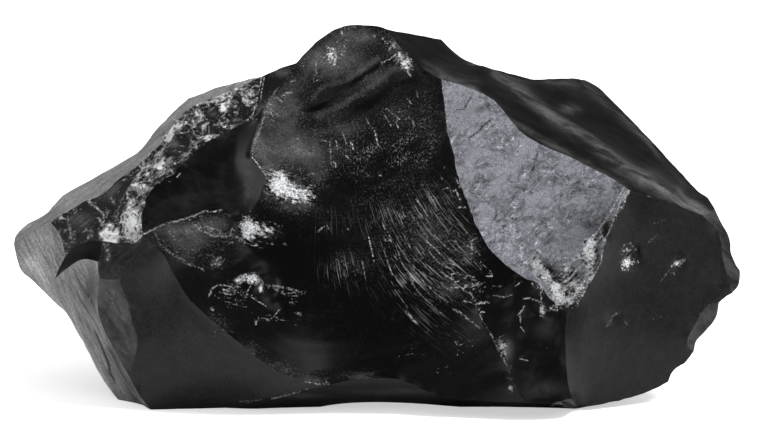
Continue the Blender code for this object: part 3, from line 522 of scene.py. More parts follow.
# %% Arris lines
FRONT_STEP = 0.25       # triangle size on the front facets, mm
BACK_STEP = 0.55        # triangle size on the back facets, mm
CRUSH = {"grey_flank": 0.35, "grey_toe": 0.4, "shell_toe": 0.4, "band_b": 0.3, "scoop_left": 0.35,
         "bevel_a": 0.2, "patch_top": 0.25, "shell_grey": 0.12, "rim_b": 0.12, "rim_c": 0.12}
BACK_WANDER = 0.5       # how far the back's straight arrises wander, mm
FINE_WANDER = 0.05      # the smallest nicks of every sharp edge, mm
BROAD_CELL, FINE_CELL = 2.6, 0.9    # sizes of the noise that moves an edge, mm
CURVE_PARTS = 24        # points on the curve between two knots, before they are spaced evenly


def smooth_line(knots, step):
    """Even points on the cubic through the knots; each slope is the chord from knot before to after."""
    chord = np.linalg.norm(np.diff(knots, axis=0), axis=1)
    slope = np.empty_like(knots)
    slope[0] = (knots[1] - knots[0]) / chord[0]
    slope[-1] = (knots[-1] - knots[-2]) / chord[-1]
    slope[1:-1] = (knots[2:] - knots[:-2]) / (chord[1:] + chord[:-1])[:, None]
    t = np.linspace(0.0, 1.0, CURVE_PARTS, endpoint=False)[:, None]
    pieces = []
    for k, length in enumerate(chord):
        pieces.append((1 + 2 * t) * (1 - t) ** 2 * knots[k] + t * (1 - t) ** 2 * length * slope[k]
                      + t ** 2 * (3 - 2 * t) * knots[k + 1] + t ** 2 * (t - 1) * length * slope[k + 1])
    dense = np.vstack(pieces + [knots[-1:]])
    run = np.concatenate([[0.0], np.cumsum(np.linalg.norm(np.diff(dense, axis=0), axis=1))])
    even = np.linspace(0.0, run[-1], max(2, round(run[-1] / step)) + 1)
    return np.column_stack([np.interp(even, run, dense[:, axis]) for axis in range(3)])


def wander(line, amount):
    """Line + noise, faded to nothing at its ends by the square root of a sine; ground lines stay down."""
    share = np.sin(np.linspace(0.0, math.pi, len(line)))[:, None] ** 0.5
    broad = np.column_stack([noise(line, BROAD_CELL, seed) for seed in (11, 12, 13)])
    fine = np.column_stack([octaves(line, FINE_CELL, seed) for seed in (14, 18, 22)])
    shift = amount * broad + (FINE_WANDER + 0.3 * amount) * fine
    if np.all(line[:, 2] == 0.0):
        shift[:, 2] = 0.0
    return line + share * shift


def arris_lines(corners):
    """All arrises as (points x 3) arrays that start and end on their corners."""
    lines = {}
    for name, (start, end, between) in CURVED_ARRISES.items():
        knots = np.vstack([corners[start], place(between), corners[end]])
        lines[name] = wander(smooth_line(knots, FRONT_STEP), CRUSH.get(name, 0.0))
    for name, (start, end, _) in STRAIGHT_ARRISES.items():
        knots = np.vstack([corners[start], corners[end]])
        lines[name] = wander(smooth_line(knots, BACK_STEP), BACK_WANDER)
    return lines


# %% [markdown]
# ## Facet skins
# Each scar is a film stretched over its loop of arrises.  A patch with four sides would not do, as
# the loops have from two to twelve arrises.  So the loop is laid flat on its own plane, a triangular
# grid fills it, and the film's height over the plane is found so that every point hangs at the
# weighted mean of its neighbours, plus a little pressure that swells or hollows it.

# %% Lay a loop flat and fill it with points
CLEAR_OF_EDGE = 0.6     # how near a grid point may come to the outline, steps
SAME_POINT = 1e-6       # distance under which the triangulation merges two points, mm


def facet_frame(outline):
    """Middle of a loop, its plane's two axes, and its outward normal: the loop's area vector."""
    middle = outline.mean(axis=0)
    around = outline - middle
    normal = np.cross(around, np.roll(around, -1, axis=0)).sum(axis=0)
    normal /= np.linalg.norm(normal)
    side = np.cross(normal, [0.0, 0.0, 1.0] if abs(normal[2]) < 0.9 else [0.0, 1.0, 0.0])
    side /= np.linalg.norm(side)
    return middle, side, np.cross(normal, side), normal


def grid_inside(flat, step):
    """Triangular grid inside a flat outline and clear of it; each point's clearance and nearest edge."""
    low, high = flat.min(axis=0), flat.max(axis=0)
    rows = np.arange(low[1], high[1], step * math.sqrt(0.75))
    columns = np.arange(low[0] - step, high[0], step)
    x, y = np.meshgrid(columns, rows)
    x = x + 0.5 * step * (np.arange(len(rows)) % 2)[:, None]
    grid = np.column_stack([x.ravel(), y.ravel()])
    inside = np.zeros(len(grid), dtype=bool)
    gap = np.full(len(grid), np.inf)
    nearest = np.zeros(len(grid), dtype=int)
    for k, (a, b) in enumerate(zip(flat, np.roll(flat, -1, axis=0))):
        level = (a[1] > grid[:, 1]) != (b[1] > grid[:, 1])
        crossing = a[0] + (grid[:, 1] - a[1]) * (b[0] - a[0]) / (b[1] - a[1] + 1e-30)
        inside ^= level & (grid[:, 0] < crossing)
        along = np.clip(((grid - a) @ (b - a)) / ((b - a) @ (b - a)), 0.0, 1.0)
        away = grid - a - along[:, None] * (b - a)
        away = away[:, 0] ** 2 + away[:, 1] ** 2
        nearest[away < gap] = k
        gap = np.minimum(gap, away)
    gap = np.sqrt(gap)
    keep = inside & (gap > CLEAR_OF_EDGE * step)
    return grid[keep], gap[keep], nearest[keep]


def triangles_of(flat, edge_count):
    """Delaunay triangles over the points, kept inside the outline made by the first edge_count."""
    ring = list(range(edge_count))
    verts, _, faces, origin, _, _ = delaunay_2d_cdt(flat.tolist(), [], [ring], 1, SAME_POINT)
    if len(verts) != len(flat):
        raise ValueError("a facet's outline crosses itself when laid flat")
    first = np.array([ids[0] for ids in origin])
    return first[np.array(faces)]


# %% Stretch the film
MOST_ROUNDS = 1500      # of conjugate gradients
SETTLED = 1e-10         # sum of squared forces at which the film is at rest


def stretch(flat, triangles, height, free, swell):
    """Solve sum of w (h_i - h_j) = swell x area by conjugate gradients; w are cotangent weights."""
    count = len(flat)
    ends, weights = [], []
    load = np.zeros(count)
    for k in range(3):
        i, j, apex = triangles[:, k], triangles[:, (k + 1) % 3], triangles[:, (k + 2) % 3]
        u, v = flat[i] - flat[apex], flat[j] - flat[apex]
        area = np.abs(u[:, 0] * v[:, 1] - u[:, 1] * v[:, 0])
        ends.append(np.column_stack([i, j]))
        weights.append(np.clip(0.5 * np.sum(u * v, axis=1) / np.maximum(area, 1e-9), -1.0, 20.0))
        load += np.bincount(i, swell * area / 6.0, count)
    i, j = np.vstack(ends).T
    weights = np.concatenate(weights)

    def pull(h):
        flow = weights * (h[i] - h[j])
        return np.bincount(i, flow, count) - np.bincount(j, flow, count)

    height = height.copy()
    rest = np.where(free, load - pull(height), 0.0)
    way = rest.copy()
    power = rest @ rest
    for _ in range(MOST_ROUNDS):
        if power < SETTLED:
            break
        spread = np.where(free, pull(way), 0.0)
        pace = power / (way @ spread)
        height += pace * way
        rest -= pace * spread
        before, power = power, rest @ rest
        way = rest + power / before * way
    return height

# %% [markdown]
# ## Relief of each scar
# The film is the large shape.  On it lie the marks of breaking: ripples round the struck point,
# steps, pits and rubble.  They could be left to bump, but bump never shows at the outline or in a
# mirror, so all that is wider than a grain lifts the points themselves.  `Broad` relief is shared
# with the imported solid; `fine` relief is not.

# %% Where the blows and dents are
FOCUS = (-6.1, 42.4)    # the blow that freed the main scar landed here, in the drawing
BACK_RINGS = {          # the blow that freed each scar of the back: x, y, z, mm
    "left_low": (-40.0, 6.0, 16.0), "left_high": (-20.0, 10.0, 33.0), "crest_back": (-4.0, 10.0, 40.0),
    "right_crest_back": (16.0, 13.0, 33.0), "right_high": (24.0, 14.0, 33.0),
    "right_end": (40.0, -2.0, 16.0), "right_under": (34.0, -4.0, 5.0), "back_left": (-30.0, 16.0, 14.0),
    "back_mid": (-13.0, 26.0, 21.0), "back_right": (22.0, 27.0, 16.0), "back_end": (33.0, 16.0, 13.0),
}
DENTS = [   # facet, across, up, radius, height
    ("flank", 28.1, 16.8, 1.3, -0.7), ("flank", 33.0, 16.2, 1.2, -0.4), ("flank", 25.6, 10.1, 0.9, -0.3),
    ("shell", -13.3, 14.3, 1.8, 0.6), ("shell", -11.6, 12.4, 2.0, -0.7), ("shell", -5.6, 38.6, 4.0, 0.7),
    ("shell", 0.0, 22.0, 9.0, -1.0), ("shell", -11.0, 24.0, 2.6, 0.35), ("toe", 17.4, 10.6, 1.8, -0.6),
    ("grey", 20.5, 15.0, 2.4, -0.5), ("grey", 17.5, 15.8, 1.8, 0.35), ("rubble", -27.0, 21.0, 1.8, 0.5),
    ("rubble", -22.0, 29.0, 1.8, 0.5), ("flat", -20.0, 7.0, 7.0, 0.25),
]
RIDGES = [  # facet, height, width, line of the crest
    ("lid", 0.7, 1.7, [(11.0, 37.0), (15.5, 34.4), (19.0, 31.7), (22.7, 29.4), (27.0, 26.3), (32.0, 23.7)]),
    ("lid", 0.4, 1.5, [(18.4, 36.0), (22.5, 35.6), (26.0, 32.9), (30.0, 28.9)]),
    ("left_flank", 0.4, 1.2, [(-35.4, 13.6), (-32.6, 8.8), (-29.9, 4.4)]),
]
SMOOTH_SCAR = ([(-33.6, 21.4), (-26.2, 26.8)], 1.7)     # a narrow scar with no rubble, and its half width
# Two steps that run round the bulb: (degrees round the blow, mm from it)
GROOVE = [(-16.0, 10.0), (4.0, 8.3), (27.0, 7.2), (52.0, 7.4)]
BULB_EDGE = [(-25.0, 16.8), (-11.0, 14.6), (0.0, 12.6), (8.5, 11.1), (28.0, 10.4), (51.0, 10.3), (62.0, 11.8)]
print("dents:", len(DENTS), "ridges:", len(RIDGES), "blows at the back:", len(BACK_RINGS))


# %% Bell shapes, rings and rays
RAYS_BEND_BELOW = 23.1      # height in the drawing under which the rays of the main scar bend, mm
CURVE_HEIGHT = 9.0          # over this much they curve, and farther down they run straight on, mm
BEND = 0.045                # sideways mm for each mm downward, squared
BENT_PART = (-12.0, 16.0)   # across: none of the bend to the left of this, all of it to the right, mm


def blob(drawn, across, rise, radius, tall=None):
    """Bell shape exp(-2 d^2) round a drawn point, where d is distance over radius (and `tall` upward)."""
    return np.exp(-2.0 * (((drawn[:, 0] - across) / radius) ** 2
                          + ((drawn[:, 1] - rise) / (tall or radius)) ** 2))


def offset_to(drawn, line):
    """Shortest way from each drawn point to a line of drawn points, as (across, up)."""
    line = np.array(line)
    best = np.full((len(drawn), 2), np.inf)
    for a, b in zip(line[:-1], line[1:]):
        along = np.clip((drawn - a) @ (b - a) / ((b - a) @ (b - a)), 0.0, 1.0)
        way = a + along[:, None] * (b - a) - drawn
        closer = np.hypot(*way.T) < np.hypot(*best.T)
        best[closer] = way[closer]
    return best


def near_line(drawn, line, width):
    """Bell shape exp(-2 d^2) across a line, where d is distance over width."""
    return np.exp(-2.0 * (np.hypot(*offset_to(drawn, line).T) / width) ** 2)


def rings_and_rays(drawn):
    """Polar place round FOCUS: ring distance, and ray angle after undoing the rays' bend to the right.

    The bend grows with the square of the way down, then evenly with the slope that it has reached,
    and from none at the left of the scar to all of it at the right."""
    below = np.maximum(RAYS_BEND_BELOW - drawn[:, 1], 0.0)
    curved, straight = np.minimum(below, CURVE_HEIGHT), np.maximum(below - CURVE_HEIGHT, 0.0)
    bend = step_up(drawn[:, 0], *BENT_PART) * BEND * (curved ** 2 + 2.0 * CURVE_HEIGHT * straight)
    across, rise = drawn[:, 0] - FOCUS[0], drawn[:, 1] - FOCUS[1]
    return np.hypot(across, rise), np.arctan2(across - bend, -rise)


# %% Broad relief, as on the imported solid
RIPPLE = 3.8            # from crest to crest on the main scar, mm
BACK_RIPPLE = 7.5       # the same on the scars of the back, mm
WIDE = [0.35, 1.0, 1.0]     # makes noise three times as long sideways
COMBED = [[1, 0, 0.6], [0, 1, 0], [-0.3, 0, 0.2]]   # leans noise and draws it out down the left flank


def broad_relief(name, points, drawn):
    """Ripples, waves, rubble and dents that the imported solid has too, mm.

    A ripple is the sine of the distance from the blow, made uneven by noise, and on the main scar it
    is strongest 9 mm from the blow."""
    height = np.zeros(len(points))
    for facet, across, rise, radius, size in DENTS:
        if facet == name:
            height += size * blob(drawn, across, rise, radius)
    for facet, size, width, line in RIDGES:
        if facet == name:
            height += size * near_line(drawn, line, width)
    if name == "shell":
        ring = np.hypot(drawn[:, 0] - FOCUS[0], drawn[:, 1] - FOCUS[1])
        strength = 0.02 + 0.06 * np.exp(-((ring - 9.0) / 5.0) ** 2)
        height += strength * np.sin(2.0 * math.pi * ring / RIPPLE + 2.0 * noise(points, 9.0, 5))
    elif name == "lid":
        height += 0.25 * noise(points * WIDE, 5.0, 21)
    elif name in ("rubble", "patch"):
        rubble = 0.7 * noise(points, 2.6, 31) + 0.3 * noise(points, 5.0, 32)
        height += rubble * (1.0 - 0.85 * near_line(drawn, *SMOOTH_SCAR))
    elif name == "left_flank":
        height += 0.35 * noise(points @ COMBED, 2.6, 41)
    elif name in BACK_RINGS:
        away = np.linalg.norm(points - BACK_RINGS[name], axis=1)
        height += 0.3 * noise(points, 7.0, 51)
        height += 0.22 * np.sin(2.0 * math.pi * away / BACK_RIPPLE + 2.0 * noise(points, 12.0, 52))
    return height


# %% Fine relief, which only this skin has
FINE_RIPPLE = 1.7       # from crest to crest on the main scar, mm
STEPS = ((GROOVE, 0.10), (BULB_EDGE, 0.08))     # line of a step on the main scar, and how deep it is
FINE_COMB = np.array([[0.25, 0, 0.9], [0, 1, 0], [-0.2, 0, 1.2]])   # draws grit out along the left faces
CALM_SCAR = 0.8         # share of the rubble's grit that is missing on the narrow smooth scar


def angle_round_blow(drawn):
    """Degrees round FOCUS, 0 straight down and positive to the right."""
    return np.degrees(np.arctan2(drawn[:, 0] - FOCUS[0], FOCUS[1] - drawn[:, 1]))


def radius_of(table, angle):
    """Radius of a ring that is not quite round, from a few (degrees, mm) pairs."""
    return np.interp(angle, *zip(*table))


def fine_relief(name, points, drawn):
    """Small ripples, steps, pits and grit of each scar, mm.

    A step drops sharply, then rises over 2.5 mm to where it was.  Noise over ray angle and ring
    distance makes the fluting along the rays."""
    height = 0.006 * octaves(points, 1.6, 61)
    if name == "shell":
        ring, ray = rings_and_rays(drawn)
        angle = angle_round_blow(drawn)
        height += 0.006 * np.sin(2.0 * math.pi * ring / FINE_RIPPLE + 3.0 * noise(points, 3.0, 62))
        polar = np.column_stack([ray * 40.0, ring * 0.55, np.zeros(len(ring))])
        height += 0.012 * noise(polar, 1.0, 63) * step_up(ring, 9.0, 14.0)
        for table, drop in STEPS:
            past = ring - radius_of(table, angle)
            bank = step_up(past, -0.3, 0.3) * (1.0 - step_up(past, 0.3, 2.5))
            height -= drop * bank * step_up(angle, -30.0, 0.0)
    elif name in ("rubble", "patch"):
        height += 0.3 * octaves(points, 1.3, 64, 4) * (1.0 - CALM_SCAR * near_line(drawn, *SMOOTH_SCAR))
    elif name == "grey":
        height += 0.05 * noise(points, 2.5, 65)
        height += 0.12 * np.abs(noise(points, 1.4, 66))
        height += 0.05 * noise(points, 0.7, 67)
    elif name in ("left_flank", "band"):
        height += (0.08 if name == "left_flank" else 0.03) * octaves(points @ FINE_COMB, 1.2, 66, 3)
    elif name == "toe":
        height += 0.12 * octaves(points, 2.2, 67, 4)
    elif name == "lid":
        height += 0.05 * noise(points * [0.4, 1.0, 1.0], 2.0, 68)
    elif name in ("flank", "cheek", "bevel"):
        height += 0.02 * octaves(points, 1.0, 69, 3)
    return height

# %% [markdown]
# ## Marks drawn on the stone
# What makes this lump itself is its damage: crushed white flecks under each blow, thin bright
# strokes where the glass lifted, dark cracks, and a grey film on some scars.  Some of the white is
# painted glint, and on the glassy scars much of the grey is painted sheen, the light and shade that
# the black glass mirrors from the room.  Noise alone would put them anywhere, so they are drawn one
# by one, as strokes and soft spots on the same drawing as the net, and each sits on its own scar.

# %% How marks are written
def rows_of(text):
    """Rows of numbers: a semicolon ends a row, and spaces or a point's comma part its numbers."""
    return [np.array(row.replace(",", " ").split(), dtype=float) for row in text.split(";")]


def strokes_of(text):
    """Strokes: the first number of a row, the half width of its line, and the line's points."""
    return [(row[0], row[1], row[2:].reshape(-1, 2)) for row in rows_of(text)]


# %% Grey film and painted sheen, as albedo added to the black
# On the glassy scars part of this film is painted sheen: the grey that their mirror would show.
BASE_FILM_AND_SHEEN = {   # film of a whole scar
    "shell": 0.0008, "scoop": 0.003, "toe": 0.001, "streak_face": 0.002, "ledge": 0.003, "grey": 0.32,
    "flat": 0.016, "flank": 0.010, "cheek": 0.034, "bevel": 0.006, "heel_chip": 0.03, "brow_lip": 0.035,
    "rubble": 0.28, "patch": 0.012, "wedge": 0.001, "band": 0.23, "left_flank": 0.25, "lid": 0.003,
}
BACK_FILM = 0.012
# Soft spots of film on a scar: across and up, half width, half height, film.  On the main scar, the
# ledge and the lid they are painted sheen: the grey that the black glass mirrors from the room, and
# haze round its glints.
FILM_AND_SHEEN_SPOTS = {
    "shell": rows_of("""
        -7.3,38.3 2.2 1.8 0.045; -3.4,41.2 3.7 1.2 0.04; -5.1,39.5 1.1 1.5 0.03; -8.9,35.9 2 1.5 0.02;
        -12.4,33.6 1.1 3.1 0.045; -13.1,28.7 1.8 1.9 0.07; -9.1,28.7 3.7 2 0.075; -10.5,33.1 2.4 3.7
        0.05; -13.7,30 0.6 2.6 0.05; -5,38.3 3.5 2.6 0.075; -0.9,37 2.9 2 0.025; -1.6,41 2.6 1.3 0.03;
        1.7,39.9 1.3 1.5 0.05; 2.8,37.9 1 1.1 0.05; -3.9,30.9 3.5 2.2 0.026; 2.1,32.8 3.5 2.4 0.014;
        5.5,32.5 2 5.5 0.008; 2.1,19.8 5 5 0.008; -10.7,24.2 2.9 2 0.07; -8.9,22.5 2.2 1.1 0.04;
        -12.4,26.2 1.5 1.3 0.08; -6.9,26.2 1.8 1.8 0.03; -14.7,20.1 1.1 1.5 0.05; -13.1,19.6 2.2 1.1
        0.03; -14.4,6.4 1.5 1.3 0.03; -11.6,4.4 2.4 1.2 0.035; -7.8,3.3 2.6 0.9 0.035; -18.2,9.4 1.5
        1.5 0.02; -2.3,3.6 2.2 0.7 0.035; -3.6,16.3 2.6 1.7 0.012; 6,19.3 3.7 5 0.022; 9.9,17.6 1.5 1.8
        0.03; 7.7,13.2 2.4 1.5 0.03; -8.9,17.1 3.3 2.2 -0.01"""),
    "ledge": rows_of("""
        -21.5,19.9 3.7 1.2 0.06; -18.3,20.5 1.5 1.2 0.055; -21,18.7 4.4 1.7 0.036; -18.1,16.2 1.1 0.8
        0.03; -22.1,16.3 2.2 0.9 0.012"""),
    "scoop": rows_of("-14.6,24.7 0.7 2.9 0.03; -21,23.7 1.5 4.4 0.005; -17.5,25.3 0.9 4.4 0.004"),
    "streak_face": rows_of("-10.9,37.2 1.3 0.8 0.06; -13.5,34.2 0.6 2 0.01"),
    "grey": rows_of("""
        20.4,14.3 2.9 2.2 -0.34; 21.7,12.3 2 1.5 -0.4; 18.5,15.2 1 1.3 -0.3; 23.5,17 1.3 2.6 -0.34;
        24.9,19.8 0.8 1.5 -0.3; 23.3,20.5 2.2 2.4 -0.14; 20.7,18.3 2.9 1.5 -0.1; 13.8,18.7 2.9 2.4
        0.13; 9.6,32.8 2 3.7 -0.035; 21.1,20.3 4.6 2.9 -0.07; 25.5,22.6 2.4 2.9 -0.12; 21.4,24.2 2.9
        1.8 -0.02; 17.6,26.4 2.6 2.2 0.03; 7.7,35.3 1 1.3 0.05"""),
    "lid": rows_of("""
        20.8,33.1 1.4 0.7 0.045; 11.8,37.5 0.7 0.4 0.06; 28.6,25.6 2.9 1 0.02; 34.1,22.8 2.4 0.9 0.025"""),
    "flank": rows_of("23.1,8.8 1.8 4.4 0.006; 29.7,18.7 3.3 2 0.004"),
    "left_flank": rows_of("-31.9,13.2 1.1 3 -0.21; -37.5,17.6 2 2.9 0.1; -34.7,20.1 0.6 1.5 0.06"),
    "band": rows_of("-28.7,27.6 4.4 1.1 0.04; -35.3,22.6 2.6 1.3 0.06; -18.2,35.3 4.4 0.8 -0.02"),
    "rubble": rows_of("""
        -30.4,24.5 3.7 2.4 -0.1; -32.9,20.7 2.9 2.2 -0.09; -35.5,20.4 1.1 1.3 -0.02; -22.6,28.7 1.3 1
        -0.12; -18.5,32.7 1.2 0.9 -0.12; -15.7,31.6 1.3 1 -0.12; -24.3,31.4 1.8 1.3 0.06; -19.9,30.9
        1.1 1.3 0.06; -17.5,34.4 2.9 1 0.06; -26.9,23.1 1.5 1.8 0.02; -27.4,20.5 1.1 1.9 0.6;
        -29.8,19.1 1.3 0.9 0.4; -23.6,30.2 1 0.9 0.3; -22.3,31.3 1.1 1 0.2; -25.6,25.3 1.3 2.4 0.04;
        -23.5,30.3 0.7 0.7 0.2; -24.3,26.7 0.7 0.7 0.25; -26.5,24.5 0.6 0.6 0.14; -27.8,23.4 0.6 0.6
        0.14; -21.3,33.4 0.9 0.7 0.12; -19,29.9 0.4 0.6 0.25; -17.2,32.8 0.4 0.7 0.22; -16.6,33.7 0.7
        0.4 0.18; -18,34.1 0.9 0.3 0.18; -15.2,35.2 0.9 0.6 0.18; -24.6,24.9 0.4 0.6 -0.2; -22.5,29.6
        0.6 0.6 -0.1; -20.9,30.1 0.8 0.6 -0.1; -16.4,30.5 0.9 0.4 -0.15; -21.8,27.6 0.6 0.6 -0.12;
        -25.4,23.6 0.4 0.6 -0.12"""),
    "patch": rows_of("-30.1,17.4 0.4 1.4 0.09; -26.5,16.3 1.1 0.9 -0.01"),
    "cheek": rows_of("""
        -28.9,15.4 2.6 2.4 -0.032; -29.6,12.1 1.1 2.2 0.018; -28.5,10.1 0.9 1.5 0.016; -29.1,7.9 1 0.4
        -0.03"""),
    "bevel": rows_of("2.1,2 6.6 0.6 0.025; -8.9,1.5 3.3 0.4 0.03; 15.4,0.8 4.4 0.3 0.02"),
    "toe": rows_of("13.8,6.6 0.9 1.5 0.08; 18.1,8.8 1.5 1.3 0.02; 18.5,2.4 2.9 1 0.016"),
}
# Soft bands of film on a scar: film, half width, then the points of the middle line.  On the main
# scar and the lid they are painted sheen: the light and dark bands that its ripples and waves mirror.
FILM_AND_SHEEN_BANDS = {
    "shell": strokes_of("""
        0.03 0.55 -6.9,32.4 -4.1,33.7 -2,35 -0.3,36.1 1.5,37.6; 0.025 0.39 -7.5,34.2 -6.3,35.6
        -3.7,36.2 -1.8,37.5 -0.3,38.8; -0.09 0.24 -8,32.6 -6.9,33.2 -6,33.9 -5.2,34.4 -4.4,35.4
        -3.5,35.8 -2.4,36.5 -1.4,37.2 -0.3,37.9; -0.07 0.29 -4.4,31.8 -3.5,32.3 -2.4,32.9 -1.2,33.7
        -0.1,34.6 0.9,35.7 1.6,36.5 2.5,37.2"""),
    "left_flank": strokes_of("""
        0.22 0.99 -38.6,16.3 -36.2,12.3 -33.8,9.3 -32,6 -30.2,2.2; -0.12 0.13 -34.3,14.3 -32.7,11.8
        -31,8.7; -0.12 0.13 -33.7,15.4 -32,12.1 -30.9,9.7; -0.26 0.14 -31.4,8.6 -30.7,7.1 -29.9,5.1
        -29.3,2.9; -0.2 0.66 -29.8,6.6 -28.5,4 -26.9,1.3; 0.16 0.11 -30,6.4 -28.7,4 -27.2,2 -26.1,0.7;
        -0.12 0.11 -35.8,15.2 -34.2,12.6 -32.7,9.9"""),
    "lid": strokes_of("""
        0.055 0.77 12.4,36.3 15.6,34.4 18.9,31.7 22.8,29.3 26.1,26.7 32,23.6 36.1,21.5; 0.028 0.77
        18.5,36 22.4,35.8 26.1,32.9 29.7,29.2; 0.03 0.39 6.7,36.6 9.9,35.5 13.2,32.8 17.6,29.8 22,27.6
        26.9,24.5; 0.02 0.88 4.9,37.9 7.7,36.8 10.4,35.3; 0.03 0.55 28.6,24.8 33,22.9 36.5,21.4"""),
}
print("film spots:", sum(map(len, FILM_AND_SHEEN_SPOTS.values())), "bands:", sum(map(len, FILM_AND_SHEEN_BANDS.values())))

# %% Hackled parts, bruises and painted glints
# Parts of the main scar where hackle rays show: across and up, half width, half height, amount
HACKLED = rows_of("""
    3.5,16.3 3.7 5.5 1; 8.2,17.6 2.4 5.5 0.7; 7.2,12.6 3.5 2.2 0.6; 5.5,22.6 3.3 2.8 0.7; -3.4,28.1 5.5
    2.9 0.8; 3,29.5 3.7 4.6 0.95; -3.9,15.2 2.8 2 0.6; 0.5,22.6 5 3.9 0.45; -6.1,21.5 3.9 2.8 0.16;
    6.6,8.8 3.9 2.2 0.18; -8.9,26.4 3.3 2.2 0.3""")
# Crushed spots and painted glints: across and up, half width, half height, amount; under 0 takes
# crushing away.  The strong patches on the main scar just right of its left edge, and those on the
# bulb, are painted glints.
BRUISES_AND_GLINTS = rows_of("""
    -5.6,39 1 1.2 1.2; -6.9,37.2 0.6 1.3 0.5; -4.2,40.2 0.7 1.5 0.3; -3.1,42 2.2 0.4 0.4; 2.8,38.1 1.1
    1.2 1.35; 1.3,40.1 1 1.1 0.7; -0.3,41 1.1 0.9 0.45; 2,39 0.8 0.8 0.9; -3.1,40.8 2.4 1.1 0.25;
    -12.4,33.3 0.9 2.2 0.45; -10.6,34.8 1.1 1.5 0.5; -11.5,32.2 1.1 1.1 0.4; -13.7,29.8 0.6 1.5 0.5;
    -13.7,27.8 0.6 1 0.35; -9.2,28.4 3.3 1 0.22; -11.1,24.8 2 2 1.7; -8.9,23.7 2.6 1.5 1.25; -12.4,26.2
    1.3 0.9 0.4; -7.8,26.2 3.1 1.3 0.3; -14.7,19.9 1.2 1.8 1.7; -12.8,19.8 2.2 1.3 1; -16,18.4 1.3 0.4
    0.5; -13.1,18.1 2.4 0.6 0.32; -16.4,12.1 2.4 1.5 0.44; -12.8,10 2.4 1 0.42; -17.5,8.5 2.4 1.1 0.35;
    -9.3,10.1 1.3 1.3 0.3; -17.1,13.1 1.1 0.9 0.36; -9.8,12.1 1 1.3 0.42; -18.1,15.9 1.1 0.7 0.26;
    -3.9,28.7 2.2 1.3 0.3; 1.6,32.8 2.9 1.5 0.26; -3.4,16.3 2.4 1.5 0.22; 4.4,24.2 3.3 2.2 0.18; 9,7.2
    2.4 1.8 0.3; 3.3,6.4 2.9 1.1 0.2; 6.6,4.2 2.6 1 0.22; 18.1,6.6 1.3 1.8 0.2; -8.3,38.3 0.9 1.5 0.45;
    -3.8,38.8 1.8 2.4 0.3; 10.1,18.7 0.9 0.8 0.6; 8.8,23.1 0.6 2.2 0.35; 9.9,13.2 1.2 1 0.5; 11.4,14
    1.3 1.3 0.4; 7.4,15.4 1.5 1.5 0.25; 17.1,16.1 1.1 1 1.5; 18.2,14.9 1 1 1.5; 19.3,13.4 1.1 1.1 1.6;
    19.8,12.1 0.9 0.9 1.3; 23.1,18.4 1 1 1.5; 23,17 1.1 1.1 1.8; 22.9,15.4 0.8 1.1 1.2; 22,13.2 0.9 1.1
    1.1; 20.7,15.4 1.3 1.1 0.9; 21.2,14 1.3 1.1 0.9; 21,12.1 1.1 0.9 0.9; 19,11.2 1.3 0.8 0.6;
    24.4,19.2 0.8 1.1 0.8; 25.5,21.4 0.8 2.2 0.6; 20.3,13 2.6 1.8 0.4; 16.5,17.6 1.8 0.9 0.3; 14.8,17.6
    2.2 1.1 0.2; -14.1,14.4 1 0.9 1.6; -15.5,14.3 1 0.7 1.1; -13.3,13.3 0.4 0.7 1.3; -16.4,13.2 1.5 1.1
    0.4; 27.2,16.2 0.7 0.9 1.8; 27.3,17.6 1 0.7 1; 28,16.3 0.4 0.6 0.6; 32.7,16.1 0.9 0.6 1.1;
    30.8,20.5 1.5 0.9 0.22; 34.1,17.6 2.2 1.1 0.12; 29.7,9.9 3.3 2.2 0.1; 30.2,20.6 0.3 0.3 0.4;
    31,20.7 0.3 0.3 0.4; 13.5,7.2 0.7 1.2 0.75; 14.4,2.3 0.6 0.6 0.9; 14.3,4 0.8 1 0.4; 15.8,6 0.9 0.4
    0.3; 19.8,0.6 1.5 0.4 0.65; 17.8,11 0.4 0.8 1.7; -32.2,13 1 2.9 0.42; -27.4,20.7 0.9 1.8 2.6;
    -29.8,19 1 0.4 1.2; -27.1,22.8 1 0.9 0.43; -26.5,24 0.7 0.7 0.59; -25.4,25.9 0.9 1.8 0.34;
    -23.6,30.2 0.8 0.7 1.1; -22.3,31.3 1.1 1 0.75; -23.7,28.7 0.7 1.3 0.31; -23.4,26.8 1.2 0.7 0.37;
    -19.9,30.5 1 0.8 0.25; -18.8,33.7 1.5 0.8 0.31; -17.5,34.4 1.3 0.4 0.8; -19.3,33.3 0.8 0.6 0.7;
    -24.6,27.6 0.7 1 0.7; -15.2,34.6 1 0.7 0.4; -17.5,32.3 0.9 0.8 0.31; -16,33.3 1.5 1.1 0.22;
    -14.2,32.3 0.4 0.4 0.46; -21.5,28.1 1.1 1 0.25; -30.9,20.7 1.3 0.9 0.25; -36.4,19.6 0.7 0.6 0.4;
    -34.9,21.4 0.6 0.6 0.28; -29.3,21.7 0.4 0.4 0.5; -22.9,28.7 0.9 0.7 -0.37; -18.5,32.7 0.9 0.7
    -0.37; -15.7,31.5 0.9 0.7 -0.37""")
print("hackled parts:", len(HACKLED), "bruises:", len(BRUISES_AND_GLINTS))

